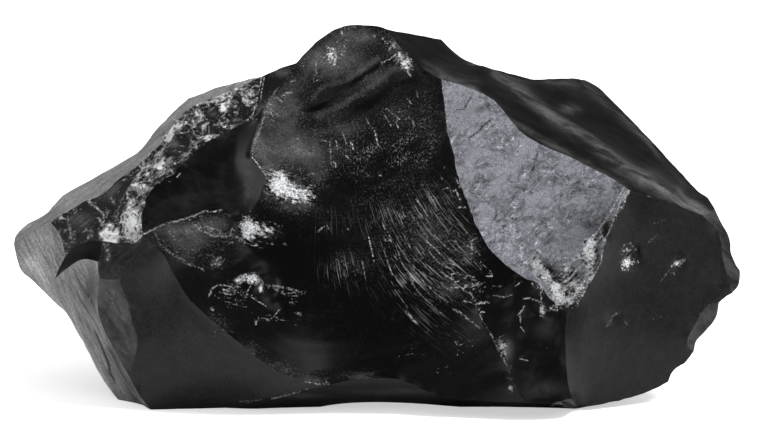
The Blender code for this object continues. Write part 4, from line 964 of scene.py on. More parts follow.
# %% Strokes on the main scar
# Thin strokes: light (under 0 is a dark one), half width, then the points of the line
STROKES = {
    # The light strokes on the bulb and along its left edge are painted glints and painted highlight.
    "the bulb": strokes_of("""
        0.75 0.09 -12.8,36.7 -13.1,35.1 -13.2,34.1; 0.35 0.09 -13.6,33.6 -13.8,33.2; 0.25 0.18
        -11.3,35.5 -12.3,34.1 -12.8,32.5 -13.3,30.8 -14,29.2 -14.1,28.2; 0.8 0.12 -14.2,27.9 -13.5,27
        -12.6,25.8; 1 0.2 -5.9,39.9 -5.1,39.7 -4.9,38.9 -5.1,38; 0.6 0.11 -7.1,38.3 -7.2,36.9; 0.5 0.1
        -7.3,36.1 -6.8,36.3; 0.95 0.13 -4.3,41.7 -4.2,41.2; 0.2 0.18 -4.7,42 -3.8,42.2 -2.8,42.2; 0.8
        0.14 0.2,41.1 0.3,40.8; 0.6 0.12 0.5,40.4 0.8,40.3; 0.4 0.12 1.2,40.3 1.6,39.9; 0.95 0.1
        0.1,38.2 1,38.6 2,39.4; 0.5 0.15 2.9,37.4 3.3,36.8"""),
    "dashes under the bulb": strokes_of("""
        1 0.11 -0.7,31 -0.5,30.1 -0.3,29.2; 0.45 0.09 -1.6,32.1 -1.1,31.2; 0.85 0.1 -3.2,29.6 -3,28.7;
        0.45 0.1 -4.9,29.7 -4.7,28.3; 0.35 0.1 -4.2,30.6 -3.7,29.2; 0.6 0.1 -3.8,28 -3.4,27.6; 0.35
        0.08 -5.6,29.6 -5.4,26.7; 0.5 0.1 -5,27.3 -4.9,26.7; 0.5 0.1 0.7,33.2 1.5,32.5 2.1,32; 0.7 0.1
        1.7,31.7 2,31; 0.4 0.09 0.2,32.9 1.2,31.2; 0.6 0.1 2.9,34.4 3.4,33.7; 0.5 0.09 3.5,32 3.7,31.2;
        0.5 0.1 4,35 4.1,34.5; 0.5 0.15 -12.4,33.1 -11.7,32.2; 0.5 0.14 -11.3,34.3 -10.9,33.9; 0.5 0.13
        -10.4,34.9 -9.8,34.9; 0.45 0.13 -9.9,36.1 -9.4,36.3; 0.5 0.1 -9.2,29.9 -8.9,29.5; 0.45 0.1
        -6.8,29.7 -6,29.6"""),
    "hackles": strokes_of("""
        0.6 0.09 7.2,16.3 8.2,15.9; 0.5 0.08 8.4,15.2 9.4,14.4; 0.6 0.09 7.9,13.9 8.7,14.2; 0.6 0.08
        10.3,16.3 11.1,15.4; 0.5 0.08 11,16.3 11.7,15.6; 0.6 0.09 9.9,12.9 10.3,12.2; 0.5 0.08
        10.5,13.9 11,13; 0.6 0.08 7.4,14.8 8.3,15; 0.5 0.08 6.6,14.1 7.4,13.2; 0.5 0.08 12,15.4
        12.5,14.8; 0.5 0.08 9.9,18.5 11,17; 0.55 0.09 8.9,20.3 9.6,19.4; 0.6 0.1 9.5,18.1 10.2,17.7;
        0.8 0.1 -1.3,19 -1,17.7 -0.7,16.4; 0.8 0.11 0.9,19.4 1.2,18.4; 0.4 0.09 0.3,19.2 0.7,18.4; 0.45
        0.1 0.4,17.5 0.9,15.9 1.4,14.7; 0.55 0.1 0.2,20.7 0.5,19.9; 0.6 0.1 1.9,21.7 2.4,20.6; 0.5 0.09
        2.4,21.9 2.7,21.3; 0.65 0.1 3.9,23.2 4.6,22.3 5.2,21.3; 0.4 0.09 5.2,24.1 6.1,22.6; 0.42 0.09
        1.7,18.1 2.2,16.5 2.9,15.2 3.7,14; 0.45 0.09 3.2,16 4.4,14.5 5.4,13.5 6.2,12.7 7.4,11.8; 0.42
        0.09 3.5,13.8 4.6,12.5 5.9,11.3 6.9,10.4; 0.7 0.1 5,18.6 5.9,17.9 6.7,17; 0.4 0.09 5.9,19.3
        6.7,18.4 7.8,17.4; 0.42 0.1 5.2,17.6 6.1,16.5 6.9,15.9 7.9,15.4; 0.55 0.11 6.4,15.4 7.3,14.7
        8.1,14.3; 0.6 0.12 7.4,13.4 8.9,13.5; 0.4 0.09 8.3,11.1 9.6,10.1 10.6,9.3; 0.5 0.2 2.9,10.8
        3.4,10.1 4,9.5; 0.85 0.13 8.3,24.2 8.8,23.1; 0.9 0.14 8.6,22.3 9.3,22.3; 0.45 0.1 8.3,25.5
        8.8,24.5; 0.4 0.11 6.9,24.3 7.6,24.5 7.9,23.5; 0.55 0.13 6.7,25.6 6.8,25.5; 0.4 0.13 6.9,26.7
        7,26.7; 0.5 0.12 8.2,18.6 8.4,18.5; 0.8 0.13 9.9,17.2 10.1,17.2; 0.85 0.12 9.1,13.2 9.4,13.7
        10.1,13.8; 0.75 0.12 9.6,14.8 10.3,14.6; 0.55 0.11 9.1,12 10,11.8; 0.5 0.11 -0.1,25.8 0.1,25.8;
        0.45 0.11 -3.6,19.9 -3.5,19.8; 0.5 0.12 -6.9,19.6 -6.4,20.1; 0.5 0.11 -5.9,20.3 -5.7,19.9; 0.3
        0.09 -2,16.3 -1.6,14.1; 0.35 0.09 2.4,19.6 3.4,17.6; 0.32 0.09 4,20.7 5.2,19; 0.3 0.09 1.6,13.2
        3,11.2"""),
}

# %% Strokes on the ledge, the chip and the foot
STROKES.update({
    "the ledge": strokes_of("""
        0.8 0.14 -25.9,19.4 -25.2,19.8 -23.7,20.5 -21.6,21 -20.2,21.5 -19.5,21.9 -18.5,21.8 -17.5,22;
        0.3 0.17 -19.8,21.6 -19.8,20.8 -19.2,20.2 -18.1,19.8 -17.4,19.6; 0.3 0.18 -20.7,20.5 -19.8,19.8
        -18.6,19.2 -17.5,19.1 -15.8,19 -15.3,18.9; 0.55 0.09 -16.3,20.1 -16.6,19.4; 0.13 0.2 -24.8,19.4
        -24.4,18.4 -23.4,17.4 -22.4,16.8 -21.6,16.4 -20.9,15.8; 0.2 0.15 -23.3,19.6 -22.6,18.8; 0.25
        0.18 -18.6,15.9 -17.7,16.8; 0.25 0.15 -18,15.8 -17.2,16.5; 0.45 0.15 -20,15.7 -19.5,15.4; 0.25
        0.13 -21,16.1 -20.6,15.9; 0.6 0.11 -14.3,18.1 -13.5,18.1; 0.6 0.14 -10.7,18.3 -10.5,18.2"""),
    "the struck chip": strokes_of("""
        0.9 0.35 -14.1,14.9 -13.4,14.2 -13,13.2; 0.75 0.29 -15.9,14.3 -15.4,14.5 -14.9,14.8; -0.9 0.14
        -14.2,14.6 -14.8,13.4; 0.55 0.09 -14.3,13.6 -14.8,12.8 -13.6,12 -12.6,11.4; 0.45 0.18
        -12.3,13.6 -11.3,13.6 -10.5,13.4 -9.6,13.2 -8.4,12.9; 0.3 0.11 -11.6,13.2 -10.3,12.6 -9.1,12.5;
        0.6 0.09 -11.1,11.1 -11.8,10.2; 0.6 0.12 -12.4,9.9 -12.2,9.9; 0.85 0.18 -13.7,9.8 -13.7,9.5;
        0.35 0.11 -13.4,10.2 -12.4,9.9; 0.85 0.22 -18.6,11.1 -18.5,11.1; 0.5 0.13 -18.9,12.5 -18.6,13.3
        -18.1,13.7 -17.2,13.7; 0.5 0.12 -17.7,12.9 -17.6,12.8; 0.45 0.12 -16.7,13.6 -16.1,13.4"""),
    "the foot of the scar": strokes_of("""
        -0.8 0.1 -12,4.7 -10.9,4.2 -8.9,3.6; 0.55 0.1 -8.4,3.1 -6.8,2.8 -5.7,2.8 -6.1,3.2; 0.5 0.13
        -12,1.2 -10.3,1.6 -8.9,2; 0.35 0.09 -15.5,0.9 -13.1,1.1; 0.7 0.1 8.2,7.5 8.4,7.2; 0.6 0.1
        8.4,6.2 8.5,6; 0.4 0.09 8,11.1 9.9,9.7; 0.45 0.1 10.5,9.3 10.9,9; 0.45 0.1 11,0.6 14.8,0.5
        17.8,0.3; -0.7 0.18 8.8,2.1 12.1,1.8 14.5,1.5"""),
})

# %% Strokes on the toe, the frosted face and the seam
STROKES.update({
    "the toe": strokes_of("""
        0.4 0.1 10.5,11.4 11.2,9.9 12.1,8.4 12.9,6.8 13.9,4.9; 0.3 0.37 13.2,7.5 13.6,6; 0.95 0.24
        14.3,2.5 14.4,2.3; 0.4 0.1 15.3,5.6 16.3,5.4; 1 0.26 17.9,11.4 18.1,10.9 17.8,10.4; 0.55 0.12
        15.8,12.2 16.5,12.3 17.2,12; 0.5 0.12 15.9,11.4 15.5,10.8 15.1,10.4; 0.5 0.12 15.4,10.3 15.5,9
        15.9,8.5; 0.45 0.11 12.4,13.6 13.3,13.6; 0.4 0.11 12.4,12.6 13.6,12.4 14.5,12.6; 0.85 0.17
        10.5,11.7 11.8,11.8; 0.75 0.14 10.8,11 11.4,10.7; 0.85 0.13 11.7,14.7 12.3,14.7; 0.55 0.13
        10.1,14.3 11.1,13.9; 0.4 0.11 14.8,13.6 15.5,14.1; 0.5 0.12 16.7,13.9 17.1,13.4; 0.8 0.14
        18.8,0.4 19.6,0.8 20.2,0.4 21.4,0.1; -0.8 0.33 18.8,0.9 20.4,1.4 21.8,1.5"""),
    # On the frosted face the light strokes beside the dark cracks paint a highlight on one edge of each
    # crack.
    "the frosted face": strokes_of("""
        -0.75 0.22 12.2,32 11.1,31.1 10.9,30.7 9.7,29.9; -0.7 0.2 9.9,34.3 9.2,33.2 8.3,32.9; 0.5 0.09
        10.1,34.1 9.4,33.1; -0.7 0.22 17.3,28.3 16.9,26.9 16.5,25.7; 0.5 0.14 12.5,31.7 11.3,30.7
        10,29.6; -0.6 0.15 17.1,17.4 18,16.7; -0.4 0.09 13.7,28.7 13.2,27.6; -0.4 0.09 15,24.2
        14.3,22.6; -0.4 0.09 11.6,27.6 11.2,26.2; -0.35 0.09 19.8,25.9 20.6,24.7; -0.4 0.09 12.8,21.5
        12.1,20.3; -0.35 0.09 17.6,23.1 16.9,21.8; -0.35 0.09 9.3,28.7 8.7,27.6"""),
    "the crushed seam": strokes_of("""
        0.8 0.13 16.8,15.2 17.6,13.7 17.7,12.3 17.7,11; 0.9 0.14 17.4,16.1 18.3,15 19.3,13.9 20,12.3;
        0.8 0.12 22.2,18.5 22.9,17.6 23.3,16.5 23.2,14.8 22.4,12.8 21.7,11.7; 0.7 0.11 20.1,15.2
        21,16.4 22.2,16.8 22.9,16.3; 0.75 0.11 20.4,13.8 21.3,15.1 22.3,15.9 22.8,17; 0.7 0.11
        19.2,13.4 20.1,12.6 20.7,11.6; 0.8 0.12 20.9,11.7 21.7,13 22.4,14 22.9,15.3; 0.7 0.11 26.7,24.2
        25.3,21.8 24.1,19.8 22.9,18.7; 0.6 0.1 19.8,14.3 20.4,14.9 20.9,15.6; 0.65 0.1 21.2,12.1
        20.7,13.2 19.8,13.9; 0.95 0.4 16.6,16.4 17.4,15.4 17.8,14.8 19.2,13.4 19.9,12.2; 0.75 0.15
        23.1,16.4 22.9,14.8 21.7,13.2 20.6,11.6; 0.6 0.12 20.3,16 21.3,16.4 22.4,17.3; 0.85 0.19
        27.4,24.1 26.9,23.1 26.6,22.3; 0.55 0.1 26.6,22.3 25.8,21.1 25.1,19.4 24.5,18.2; 0.4 0.11
        25.9,22.2 24.1,19.9 23.4,18.8; 0.6 0.11 24.5,17.7 24.3,16.3 23.3,14.3 22.3,13; 0.9 0.37
        22.6,17.7 23,17.1"""),
})

# %% Strokes on the other faces
STROKES.update({
    "the right flank": strokes_of("""
        1 0.26 26.7,16.3 26.7,15.5 27.2,15.4; 0.3 0.14 26.4,17.4 26.8,18.1 27.5,18.4 28.2,17.6; 0.85
        0.11 28.3,16.3 28.4,16.2; 0.55 0.11 27.7,16.1 27.8,16; -0.8 0.29 28.4,18 28.6,17; 0.5 0.2
        32.1,15.8 32.7,16.3 33.5,16.5; 0.4 0.12 32.3,15.1 32.4,14.9; 0.14 0.13 31.7,15.2 30.8,14; 0.18
        0.18 24.9,9.3 25.8,10.5 26.4,10.8; 0.1 0.13 26.7,9.9 27.2,9.4; 0.3 0.13 30.1,20.6 30.1,20.4;
        0.3 0.13 31.1,20.8 31.1,20.6; 0.06 0.15 29.5,18.4 30.4,19.2"""),
    "the broken left": strokes_of("""
        1 0.29 -23.7,30.2 -23.4,30.1; 0.65 0.13 -23.3,29.9 -24.1,28.6 -24.4,27.7; 0.7 0.18 -22.7,32
        -22,31.1 -22.2,30.7; 0.3 0.1 -20.2,33.2 -19,31.8 -18.8,29.7 -20.6,30.4 -20.9,31.6 -20.2,33.2;
        0.85 0.13 -20.6,30.6 -20.2,30; 0.75 0.12 -19.2,29.9 -18.8,29.6; 0.5 0.13 -19.7,33.6 -18.6,34.1;
        0.8 0.18 -18.3,34.4 -17.4,34.3; 0.85 0.18 -15.5,34.8 -14.6,34.6; 0.8 0.14 -16.9,33 -17.5,32.2
        -17.9,31.6; 0.75 0.13 -14.4,32.3 -14.1,32.1; 0.55 0.1 -20.4,29.2 -21.4,28.1 -22,27.4; 0.9 0.14
        -21.6,28.2 -21.5,28; 1 0.17 -22.7,27.2 -22.6,27.1; 0.65 0.18 -24.3,27.1 -23.2,26.8; 0.85 0.12
        -22.1,26 -22.4,25.6; 0.75 0.11 -23.3,25.2 -23.1,25.1; 0.55 0.13 -25.5,27.6 -25.8,26.2
        -25.3,25.1 -24.6,25.8; 0.85 0.11 -25.3,25.4 -25.3,25.3; 0.9 0.24 -26.7,24.2 -26.2,23.7; 0.75
        0.12 -27.9,23.4 -27.1,22.8 -27.8,22.5; 1 0.5 -26.8,22 -26.9,19.2; 1 0.4 -28,21.7 -27.9,19.2
        -27.2,18.8; 1 0.33 -30.4,19.3 -29.6,19 -28.5,19; 0.5 0.18 -31.1,21.1 -30.6,20.4; 0.45 0.19
        -30.4,18.3 -29.9,17 -30.1,16.5; 0.75 0.15 -36.7,19.8 -36,19.3; 0.4 0.19 -34.5,21.1 -34.1,19;
        -0.85 0.1 -26.7,26.9 -28.5,25.6 -30.2,23.9 -31.8,22.7; -0.6 0.09 -27.1,26 -28.8,24.2; -0.5 0.09
        -27.8,24.7 -29.6,23.1; -0.9 0.35 -23.4,28.7 -22.3,28.8; -0.9 0.29 -19,32.5 -17.8,33.3; -0.9
        0.31 -16.4,31.5 -14.8,31.8; -0.8 0.09 -28.5,7.2 -27.7,6.4; -0.7 0.09 -28.7,6.4 -28,5.8; -0.5
        0.09 -28.9,7.5 -28.3,7.1"""),
})
print("strokes:", sum(map(len, STROKES.values())))

# %% Worn arrises
WEAR = {    # how worn an arris is, from 0 to 1
    "ledge_top": 0.2, "grey_flank": 0.3, "grey_toe": 0.2, "shell_toe": 0.2, "ridge": 0.15, "streak": 0.4,
    "scoop_left": 0.15, "patch_top": 0.3, "bevel_b": 0.15, "bevel_c": 0.2, "rim_p": 0.4, "rim_q": 0.4,
    "rim_e": 0.15, "bulb_edge": 0.1, "shell_brow": 0.1, "ledge_low": 0.0, "lid_flank": 0.25, "lid_grey": 0.15,
    "shell_grey": 0.24, "flat_edge": 0.08, "scoop_roof": 0.0, "band_b": 0.3,
}
PLAIN_WEAR = 0.14       # of the other arrises in front
BACK_WEAR = 0.12        # of those of the back
print("worn most:", max(WEAR, key=WEAR.get))


# %% Film, painted sheen and rays on a facet
def spot_sum(spots, drawn):
    """Sum of amount x bell shape over a list of spots."""
    total = np.zeros(len(drawn))
    for across, rise, radius, tall, amount in spots:
        total += amount * blob(drawn, across, rise, radius, tall)
    return total


def film_and_sheen_on(name, points, drawn):
    """Film and painted sheen of a facet's points: its base, its spots and its bands, never under 0."""
    if name not in BASE_FILM_AND_SHEEN:
        return BACK_FILM * (1.0 + noise(points, 4.0, 72))
    film_and_sheen = BASE_FILM_AND_SHEEN[name] + spot_sum(FILM_AND_SHEEN_SPOTS.get(name, []), drawn)
    for amount, width, line in FILM_AND_SHEEN_BANDS.get(name, []):
        film_and_sheen += amount * near_line(drawn, line, width)
    return np.maximum(film_and_sheen, 0.0)


def rays_on(name, points, drawn, ring):
    """How strongly hackle rays show: on the listed parts of the main scar, and on the back's scars."""
    if name in BACK_RINGS:
        return 0.5 * step_up(ring, 6.0, 12.0) * step_up(noise(points, 6.0, 73), -0.1, 0.5)
    if name != "shell":
        return np.zeros(len(points))
    outside = step_up(ring - radius_of(BULB_EDGE, angle_round_blow(drawn)), 0.0, 4.0)
    return outside * np.minimum(spot_sum(HACKLED, drawn), 1.0)


# %% [markdown]
# ## The whole skin
# Neighbouring facets share the points of their arris, so when every film is joined the skin is one
# closed solid.  Separate sheets would be simpler to build, but light and dust would pass between
# them.  Film and painted sheen, wear and rays change abruptly at an arris, so they are stored on face
# corners, one number a corner, while places, bruises and painted glints are stored on points.

# %% Which finish each facet has
FINISH_OF = {
    "shell": "shell_glass", "scoop": "hollow_glass", "toe": "plain_face", "streak_face": "shell_glass",
    "ledge": "shell_glass", "grey": "frosted_face", "flat": "plain_face", "flank": "plain_face",
    "cheek": "hollow_glass", "bevel": "plain_face", "heel_chip": "waved_glass", "brow_lip": "waved_glass",
    "rubble": "crushed_face", "patch": "crushed_face", "wedge": "dark_notch", "band": "streaked_face",
    "left_flank": "combed_face", "lid": "waved_glass",
}
FINISHES = ["shell_glass", "frosted_face", "plain_face", "crushed_face", "streaked_face", "combed_face",
            "waved_glass", "dark_notch", "hollow_glass", "back_glass"]
print("facets:", len(FRONT_FACETS) + len(BACK_FACETS), "finishes:", len(FINISHES))

# %% One facet
CORNER_NUMBERS = ["wear", "film_and_sheen", "ring", "ray", "rays"]
BROAD_FROM, BROAD_OVER = 0.5, 1.5       # mm from an arris where broad relief starts, and until it is full
FINE_RISE = (0.1, 0.6)                  # mm from an arris where fine relief starts and is full
UNSEEN = ("base", "arch")               # facets under the stone, which stay flat


def rings_on(name, points, drawn, laid, middle, side, rise):
    """Ring distance and ray angle: round the main blow in front, round the scar's own blow at the back."""
    if name not in BACK_RINGS:
        return rings_and_rays(drawn)
    blow = np.array(BACK_RINGS[name]) - middle
    flat_blow = np.array([blow @ side, blow @ rise])
    return np.linalg.norm(points - BACK_RINGS[name], axis=1), np.arctan2(*(laid - flat_blow).T)


def facet_skin(name, outline, outline_wear, step, swell):
    """A facet's inner points, the clearance of all its points, its triangles and its corner numbers."""
    middle, side, rise, normal = facet_frame(outline)
    laid = (outline - middle) @ np.column_stack([side, rise])
    inner, gap, nearest = grid_inside(laid, step)
    flat = np.vstack([laid, inner])
    triangles = triangles_of(flat, len(outline))
    height = np.zeros(len(flat))
    height[:len(outline)] = (outline - middle) @ normal
    free = np.arange(len(flat)) >= len(outline)
    height = stretch(flat, triangles, height, free, swell)
    points = middle + flat[:, :1] * side + flat[:, 1:] * rise + height[:, None] * normal
    gap = np.concatenate([np.zeros(len(outline)), gap])
    drawn = seen(points)
    lift = np.clip((gap - BROAD_FROM) / BROAD_OVER, 0.0, 1.0) * broad_relief(name, points, drawn)
    if name not in UNSEEN:
        lift += step_up(gap, *FINE_RISE) * fine_relief(name, points, drawn)
    points += lift[:, None] * normal
    wear = np.concatenate([outline_wear, outline_wear[nearest]])
    ring, ray = rings_on(name, points, drawn, flat, middle, side, rise)
    numbers = np.column_stack([wear, film_and_sheen_on(name, points, drawn), ring, ray,
                               rays_on(name, points, drawn, ring)])
    return points[len(outline):], gap[len(outline):], triangles, numbers[triangles.ravel()]


# %% All facets
def arris_points(names, spots):
    """Points of every arris between its corners, and each arris's point numbers with its corners."""
    corners = dict(zip(names, spots))
    points, ids, count = [], {}, len(names)
    for name, line in arris_lines(corners).items():
        start, end = (CURVED_ARRISES.get(name) or STRAIGHT_ARRISES[name])[:2]
        inside = np.arange(count, count + len(line) - 2)
        ids[name] = np.concatenate([[names.index(start)], inside, [names.index(end)]])
        points.append(line[1:-1])
        count += len(line) - 2
    return points, ids


def stone_skin():
    """Points (mm), clearances, which are in front, triangles, finish numbers and corner numbers."""
    names = list(DRAWN_CORNERS) + list(BACK_CORNERS)
    spots = np.vstack([place(list(DRAWN_CORNERS.values())), list(BACK_CORNERS.values())])
    lines, ids = arris_points(names, spots)
    net = np.vstack([spots] + lines)
    points, gaps, triangles, finishes, corners = [net], [np.zeros(len(net))], [], [], []
    front = [np.zeros(len(net), dtype=bool)]
    count = len(net)
    for name, (swell, loop) in {**FRONT_FACETS, **BACK_FACETS}.items():
        in_front = name in FRONT_FACETS
        runs = [(word.lstrip("-"), ids[word.lstrip("-")][::-1] if word[0] == "-" else ids[word])
                for word in loop.split()]
        ring = np.concatenate([run[:-1] for _, run in runs])
        usual = PLAIN_WEAR if in_front else BACK_WEAR
        wear = np.concatenate([np.full(len(run) - 1, WEAR.get(arris, usual)) for arris, run in runs])
        step = FRONT_STEP if in_front else BACK_STEP
        inner, gap, faces, numbers = facet_skin(name, net[ring], wear, step, swell)
        points.append(inner)
        gaps.append(gap)
        front[0][ring] |= in_front
        front.append(np.full(len(inner), in_front))
        triangles.append(np.concatenate([ring, np.arange(count, count + len(inner))])[faces])
        finishes.append(np.full(len(faces), FINISHES.index(FINISH_OF.get(name, "back_glass"))))
        corners.append(numbers)
        count += len(inner)
    return [np.concatenate(part) for part in (points, gaps, front, triangles, finishes, corners)]


points, gaps, front, triangles, finishes, corner_numbers = stone_skin()
print("skin:", len(points), "points,", len(triangles), "triangles")


# %% Bruises, painted glints and strokes of the points in front
FAR_OFF = 9.0       # stored where no stroke is near, half widths
REACH = 0.9         # how far from a stroke it is still stored, mm


def nearest_stroke(drawn):
    """Offset (across, up) and distance to the closest stroke, in half widths, and that stroke's light."""
    mark = np.full((len(drawn), 3), FAR_OFF)
    light = np.zeros(len(drawn))
    for group in STROKES.values():
        for strength, width, line in group:
            low, high = np.min(line, axis=0) - REACH, np.max(line, axis=0) + REACH
            close = np.flatnonzero(np.all((drawn > low) & (drawn < high), axis=1))
            offset = offset_to(drawn[close], line) / width
            away = np.hypot(*offset.T)
            better = away < mark[close, 2]
            mark[close[better]] = np.column_stack([offset, away])[better]
            light[close[better]] = strength
    return mark, light


drawn = seen(points[front])
bruise_and_glint = np.zeros(len(points))
marks = np.full((len(points), 3), FAR_OFF)
mark_light = np.zeros(len(points))
bruise_and_glint[front] = np.maximum(spot_sum(BRUISES_AND_GLINTS, drawn), 0.0)
marks[front], mark_light[front] = nearest_stroke(drawn)
print("bruised points:", int(np.sum(bruise_and_glint > 0.5)), "points on strokes:", int(np.sum(marks[:, 2] < 1.0)))


# %% Put the skin into a mesh
SHARP_ANGLE = math.radians(38.0)    # two triangles that meet more sharply than this keep a hard edge


def attribute(mesh, name, values, domain="POINT"):
    """Store a number, or a vector, for each point or face corner of the mesh."""
    kind, key = ("FLOAT", "value") if values.ndim == 1 else ("FLOAT_VECTOR", "vector")
    stored = mesh.attributes.new(name, kind, domain)
    stored.data.foreach_set(key, np.ascontiguousarray(values, dtype=np.float32).ravel())


def skin_mesh(points, triangles, finishes):
    """Mesh from arrays, shaded smooth; edges where two facets meet sharply stay sharp."""
    mesh = bpy.data.meshes.new("obsidian")
    mesh.from_pydata(to_frame(points), [], triangles)
    mesh.polygons.foreach_set("material_index", finishes.astype(np.int32))
    mesh.polygons.foreach_set("use_smooth", np.ones(len(triangles), dtype=bool))
    mesh.update()
    mesh.set_sharp_from_angle(angle=SHARP_ANGLE)
    return mesh


mesh = skin_mesh(points, triangles, finishes)
attribute(mesh, "gap", gaps)
attribute(mesh, "bruise_and_glint", bruise_and_glint)
attribute(mesh, "mark", marks)
attribute(mesh, "mark_light", mark_light)
for column, name in enumerate(CORNER_NUMBERS):
    attribute(mesh, name, corner_numbers[:, column], "CORNER")
stone = bpy.data.objects.new("obsidian", mesh)
bpy.context.scene.collection.objects.link(stone)
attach(stone, "root")
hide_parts("obsidian_chunk")
print("mesh:", stone.name, "with", [stored.name for stored in mesh.attributes])

# %% [markdown]
# ## Effects shared by the finishes
# White bruises, painted glints, hackle rays, worn edges and single bright strokes turn up on several
# scars.  They could be painted on an image, but that needs a map of the whole skin and blurs close
# up.  Here each effect is worked out in the shader, as a node group that puts out masks and heights
# only and that every finish takes in.  Lengths inside the groups are in millimetres: the object's
# coordinates are multiplied by a thousand first.

# %% Sums with sockets
def times(tree, first, second):
    """first x second."""
    return maths(tree, "MULTIPLY", first, second)


def less(tree, first, second):
    """first - second."""
    return maths(tree, "SUBTRACT", first, second)


def greater(tree, first, second):
    """The greater of the two."""
    return maths(tree, "MAXIMUM", first, second)


def between(tree, first, second, part):
    """first where part is 0, second where it is 1, and evenly between: first + (second - first) x part."""
    return maths(tree, "MULTIPLY_ADD", less(tree, second, first), part, first)


def share(tree, first, second, part):
    """first x (1 - part) + second x part, for a part that is the same all over."""
    return maths(tree, "ADD", times(tree, first, 1.0 - part), times(tree, second, part))


def uneven(tree, value, pattern, low, high, least, most):
    """value x a number that goes from least to most as the pattern goes from low to high."""
    return times(tree, value, ramp(tree, pattern, low, high, least, most, smooth=False))


# %% Group helpers
def new_group(name, inputs, outputs):
    """An empty shader group with float sockets, and its tree, input node and output node."""
    tree = bpy.data.node_groups.new(name, "ShaderNodeTree")
    for label, default in inputs:
        socket = tree.interface.new_socket(label, in_out="INPUT", socket_type="NodeSocketFloat")
        socket.default_value = default
    for label in outputs:
        tree.interface.new_socket(label, in_out="OUTPUT", socket_type="NodeSocketFloat")
    return tree, node(tree, "NodeGroupInput"), node(tree, "NodeGroupOutput")


def stored(tree, name, output="Fac"):
    """The number or vector that the mesh stores under a name, as a socket."""
    return node(tree, "ShaderNodeAttribute", attribute_name=name).outputs[output]


def millimetres(tree, squeeze=(1.0, 1.0, 1.0), lean=0.0):
    """Object coordinates in mm, turned so that x runs `lean` degrees down to the right, then squeezed."""
    place_on = node(tree, "ShaderNodeMapping", vector_type="TEXTURE")
    wire(tree, node(tree, "ShaderNodeTexCoord").outputs["Object"], place_on.inputs["Vector"])
    place_on.inputs["Scale"].default_value = [0.001 / s for s in squeeze]
    place_on.inputs["Rotation"].default_value = (0.0, math.radians(lean), 0.0)
    return place_on.outputs["Vector"]


def round_the_blow(tree, across, along):
    """Vector of ray angle x across and ring distance x along, for patterns that follow the fracture."""
    both = node(tree, "ShaderNodeCombineXYZ")
    wire(tree, times(tree, stored(tree, "ray"), across), both.inputs["X"])
    wire(tree, times(tree, stored(tree, "ring"), along), both.inputs["Y"])
    return both.outputs[0]


def cloud(tree, vector, scale, detail=3.0, rough=0.5, distort=0.0):
    """Noise texture, about 0.5 with a spread of 0.1; scale is cells for each unit of the vector."""
    made = node(tree, "ShaderNodeTexNoise")
    made.inputs["Scale"].default_value = scale
    made.inputs["Detail"].default_value = detail
    made.inputs["Roughness"].default_value = rough
    made.inputs["Distortion"].default_value = distort
    wire(tree, vector, made.inputs["Vector"])
    return made.outputs["Fac"]


# %% Bruised glass and painted glints
FLECK_LEVEL, FLECK_FALL = 0.62, -0.20   # noise turns white above FLECK_LEVEL + FLECK_FALL x Amount
DRAWN_OUT = 0.45                        # share of that noise which is drawn out along the ripples


def bruise_and_glint_group():
    """White flecks where noise passes a level that sinks as Amount grows, dark pits where it is low.

    Fine grain breaks the flecks up, less and less from an Amount of 1.4, so that 2.6 is solid white.
    The same flecks serve for crushed glass and for painted glints."""
    tree, given, out = new_group("bruise_and_glint_flecks", [("Amount", 0.0)], ["Flecks", "Pits", "Height"])
    amount = given.outputs["Amount"]
    where = millimetres(tree)
    along_ripples = cloud(tree, round_the_blow(tree, 16.0, 3.2), 1.0, 3.0, 0.65, 0.5)
    tone = share(tree, cloud(tree, where, 2.4, 4.0, 0.7, 0.5), along_ripples, DRAWN_OUT)
    above = less(tree, tone, maths(tree, "MULTIPLY_ADD", amount, FLECK_FALL, FLECK_LEVEL))
    flecks = times(tree, ramp(tree, above, -0.01, 0.15), ramp(tree, amount, 0.02, 0.15))
    grain = ramp(tree, cloud(tree, where, 5.0, 3.0, 0.75), 0.36, 0.60, 0.18, 1.0)
    grain = greater(tree, grain, ramp(tree, amount, 1.4, 2.6, 0.0, 0.85))
    pits = times(tree, ramp(tree, tone, 0.49, 0.42), ramp(tree, amount, 0.2, 0.6))
    wire(tree, times(tree, flecks, grain), out.inputs["Flecks"])
    wire(tree, pits, out.inputs["Pits"])
    wire(tree, flecks, out.inputs["Height"])
    return tree


# %% Hackle rays
RAY_LEVEL, RAY_FALL = 0.68, -0.20       # rays show above this level, which sinks where they gather
DASHES_TO_LINES = (25.0, 17.0)          # mm from the blow: lines only, dashes only


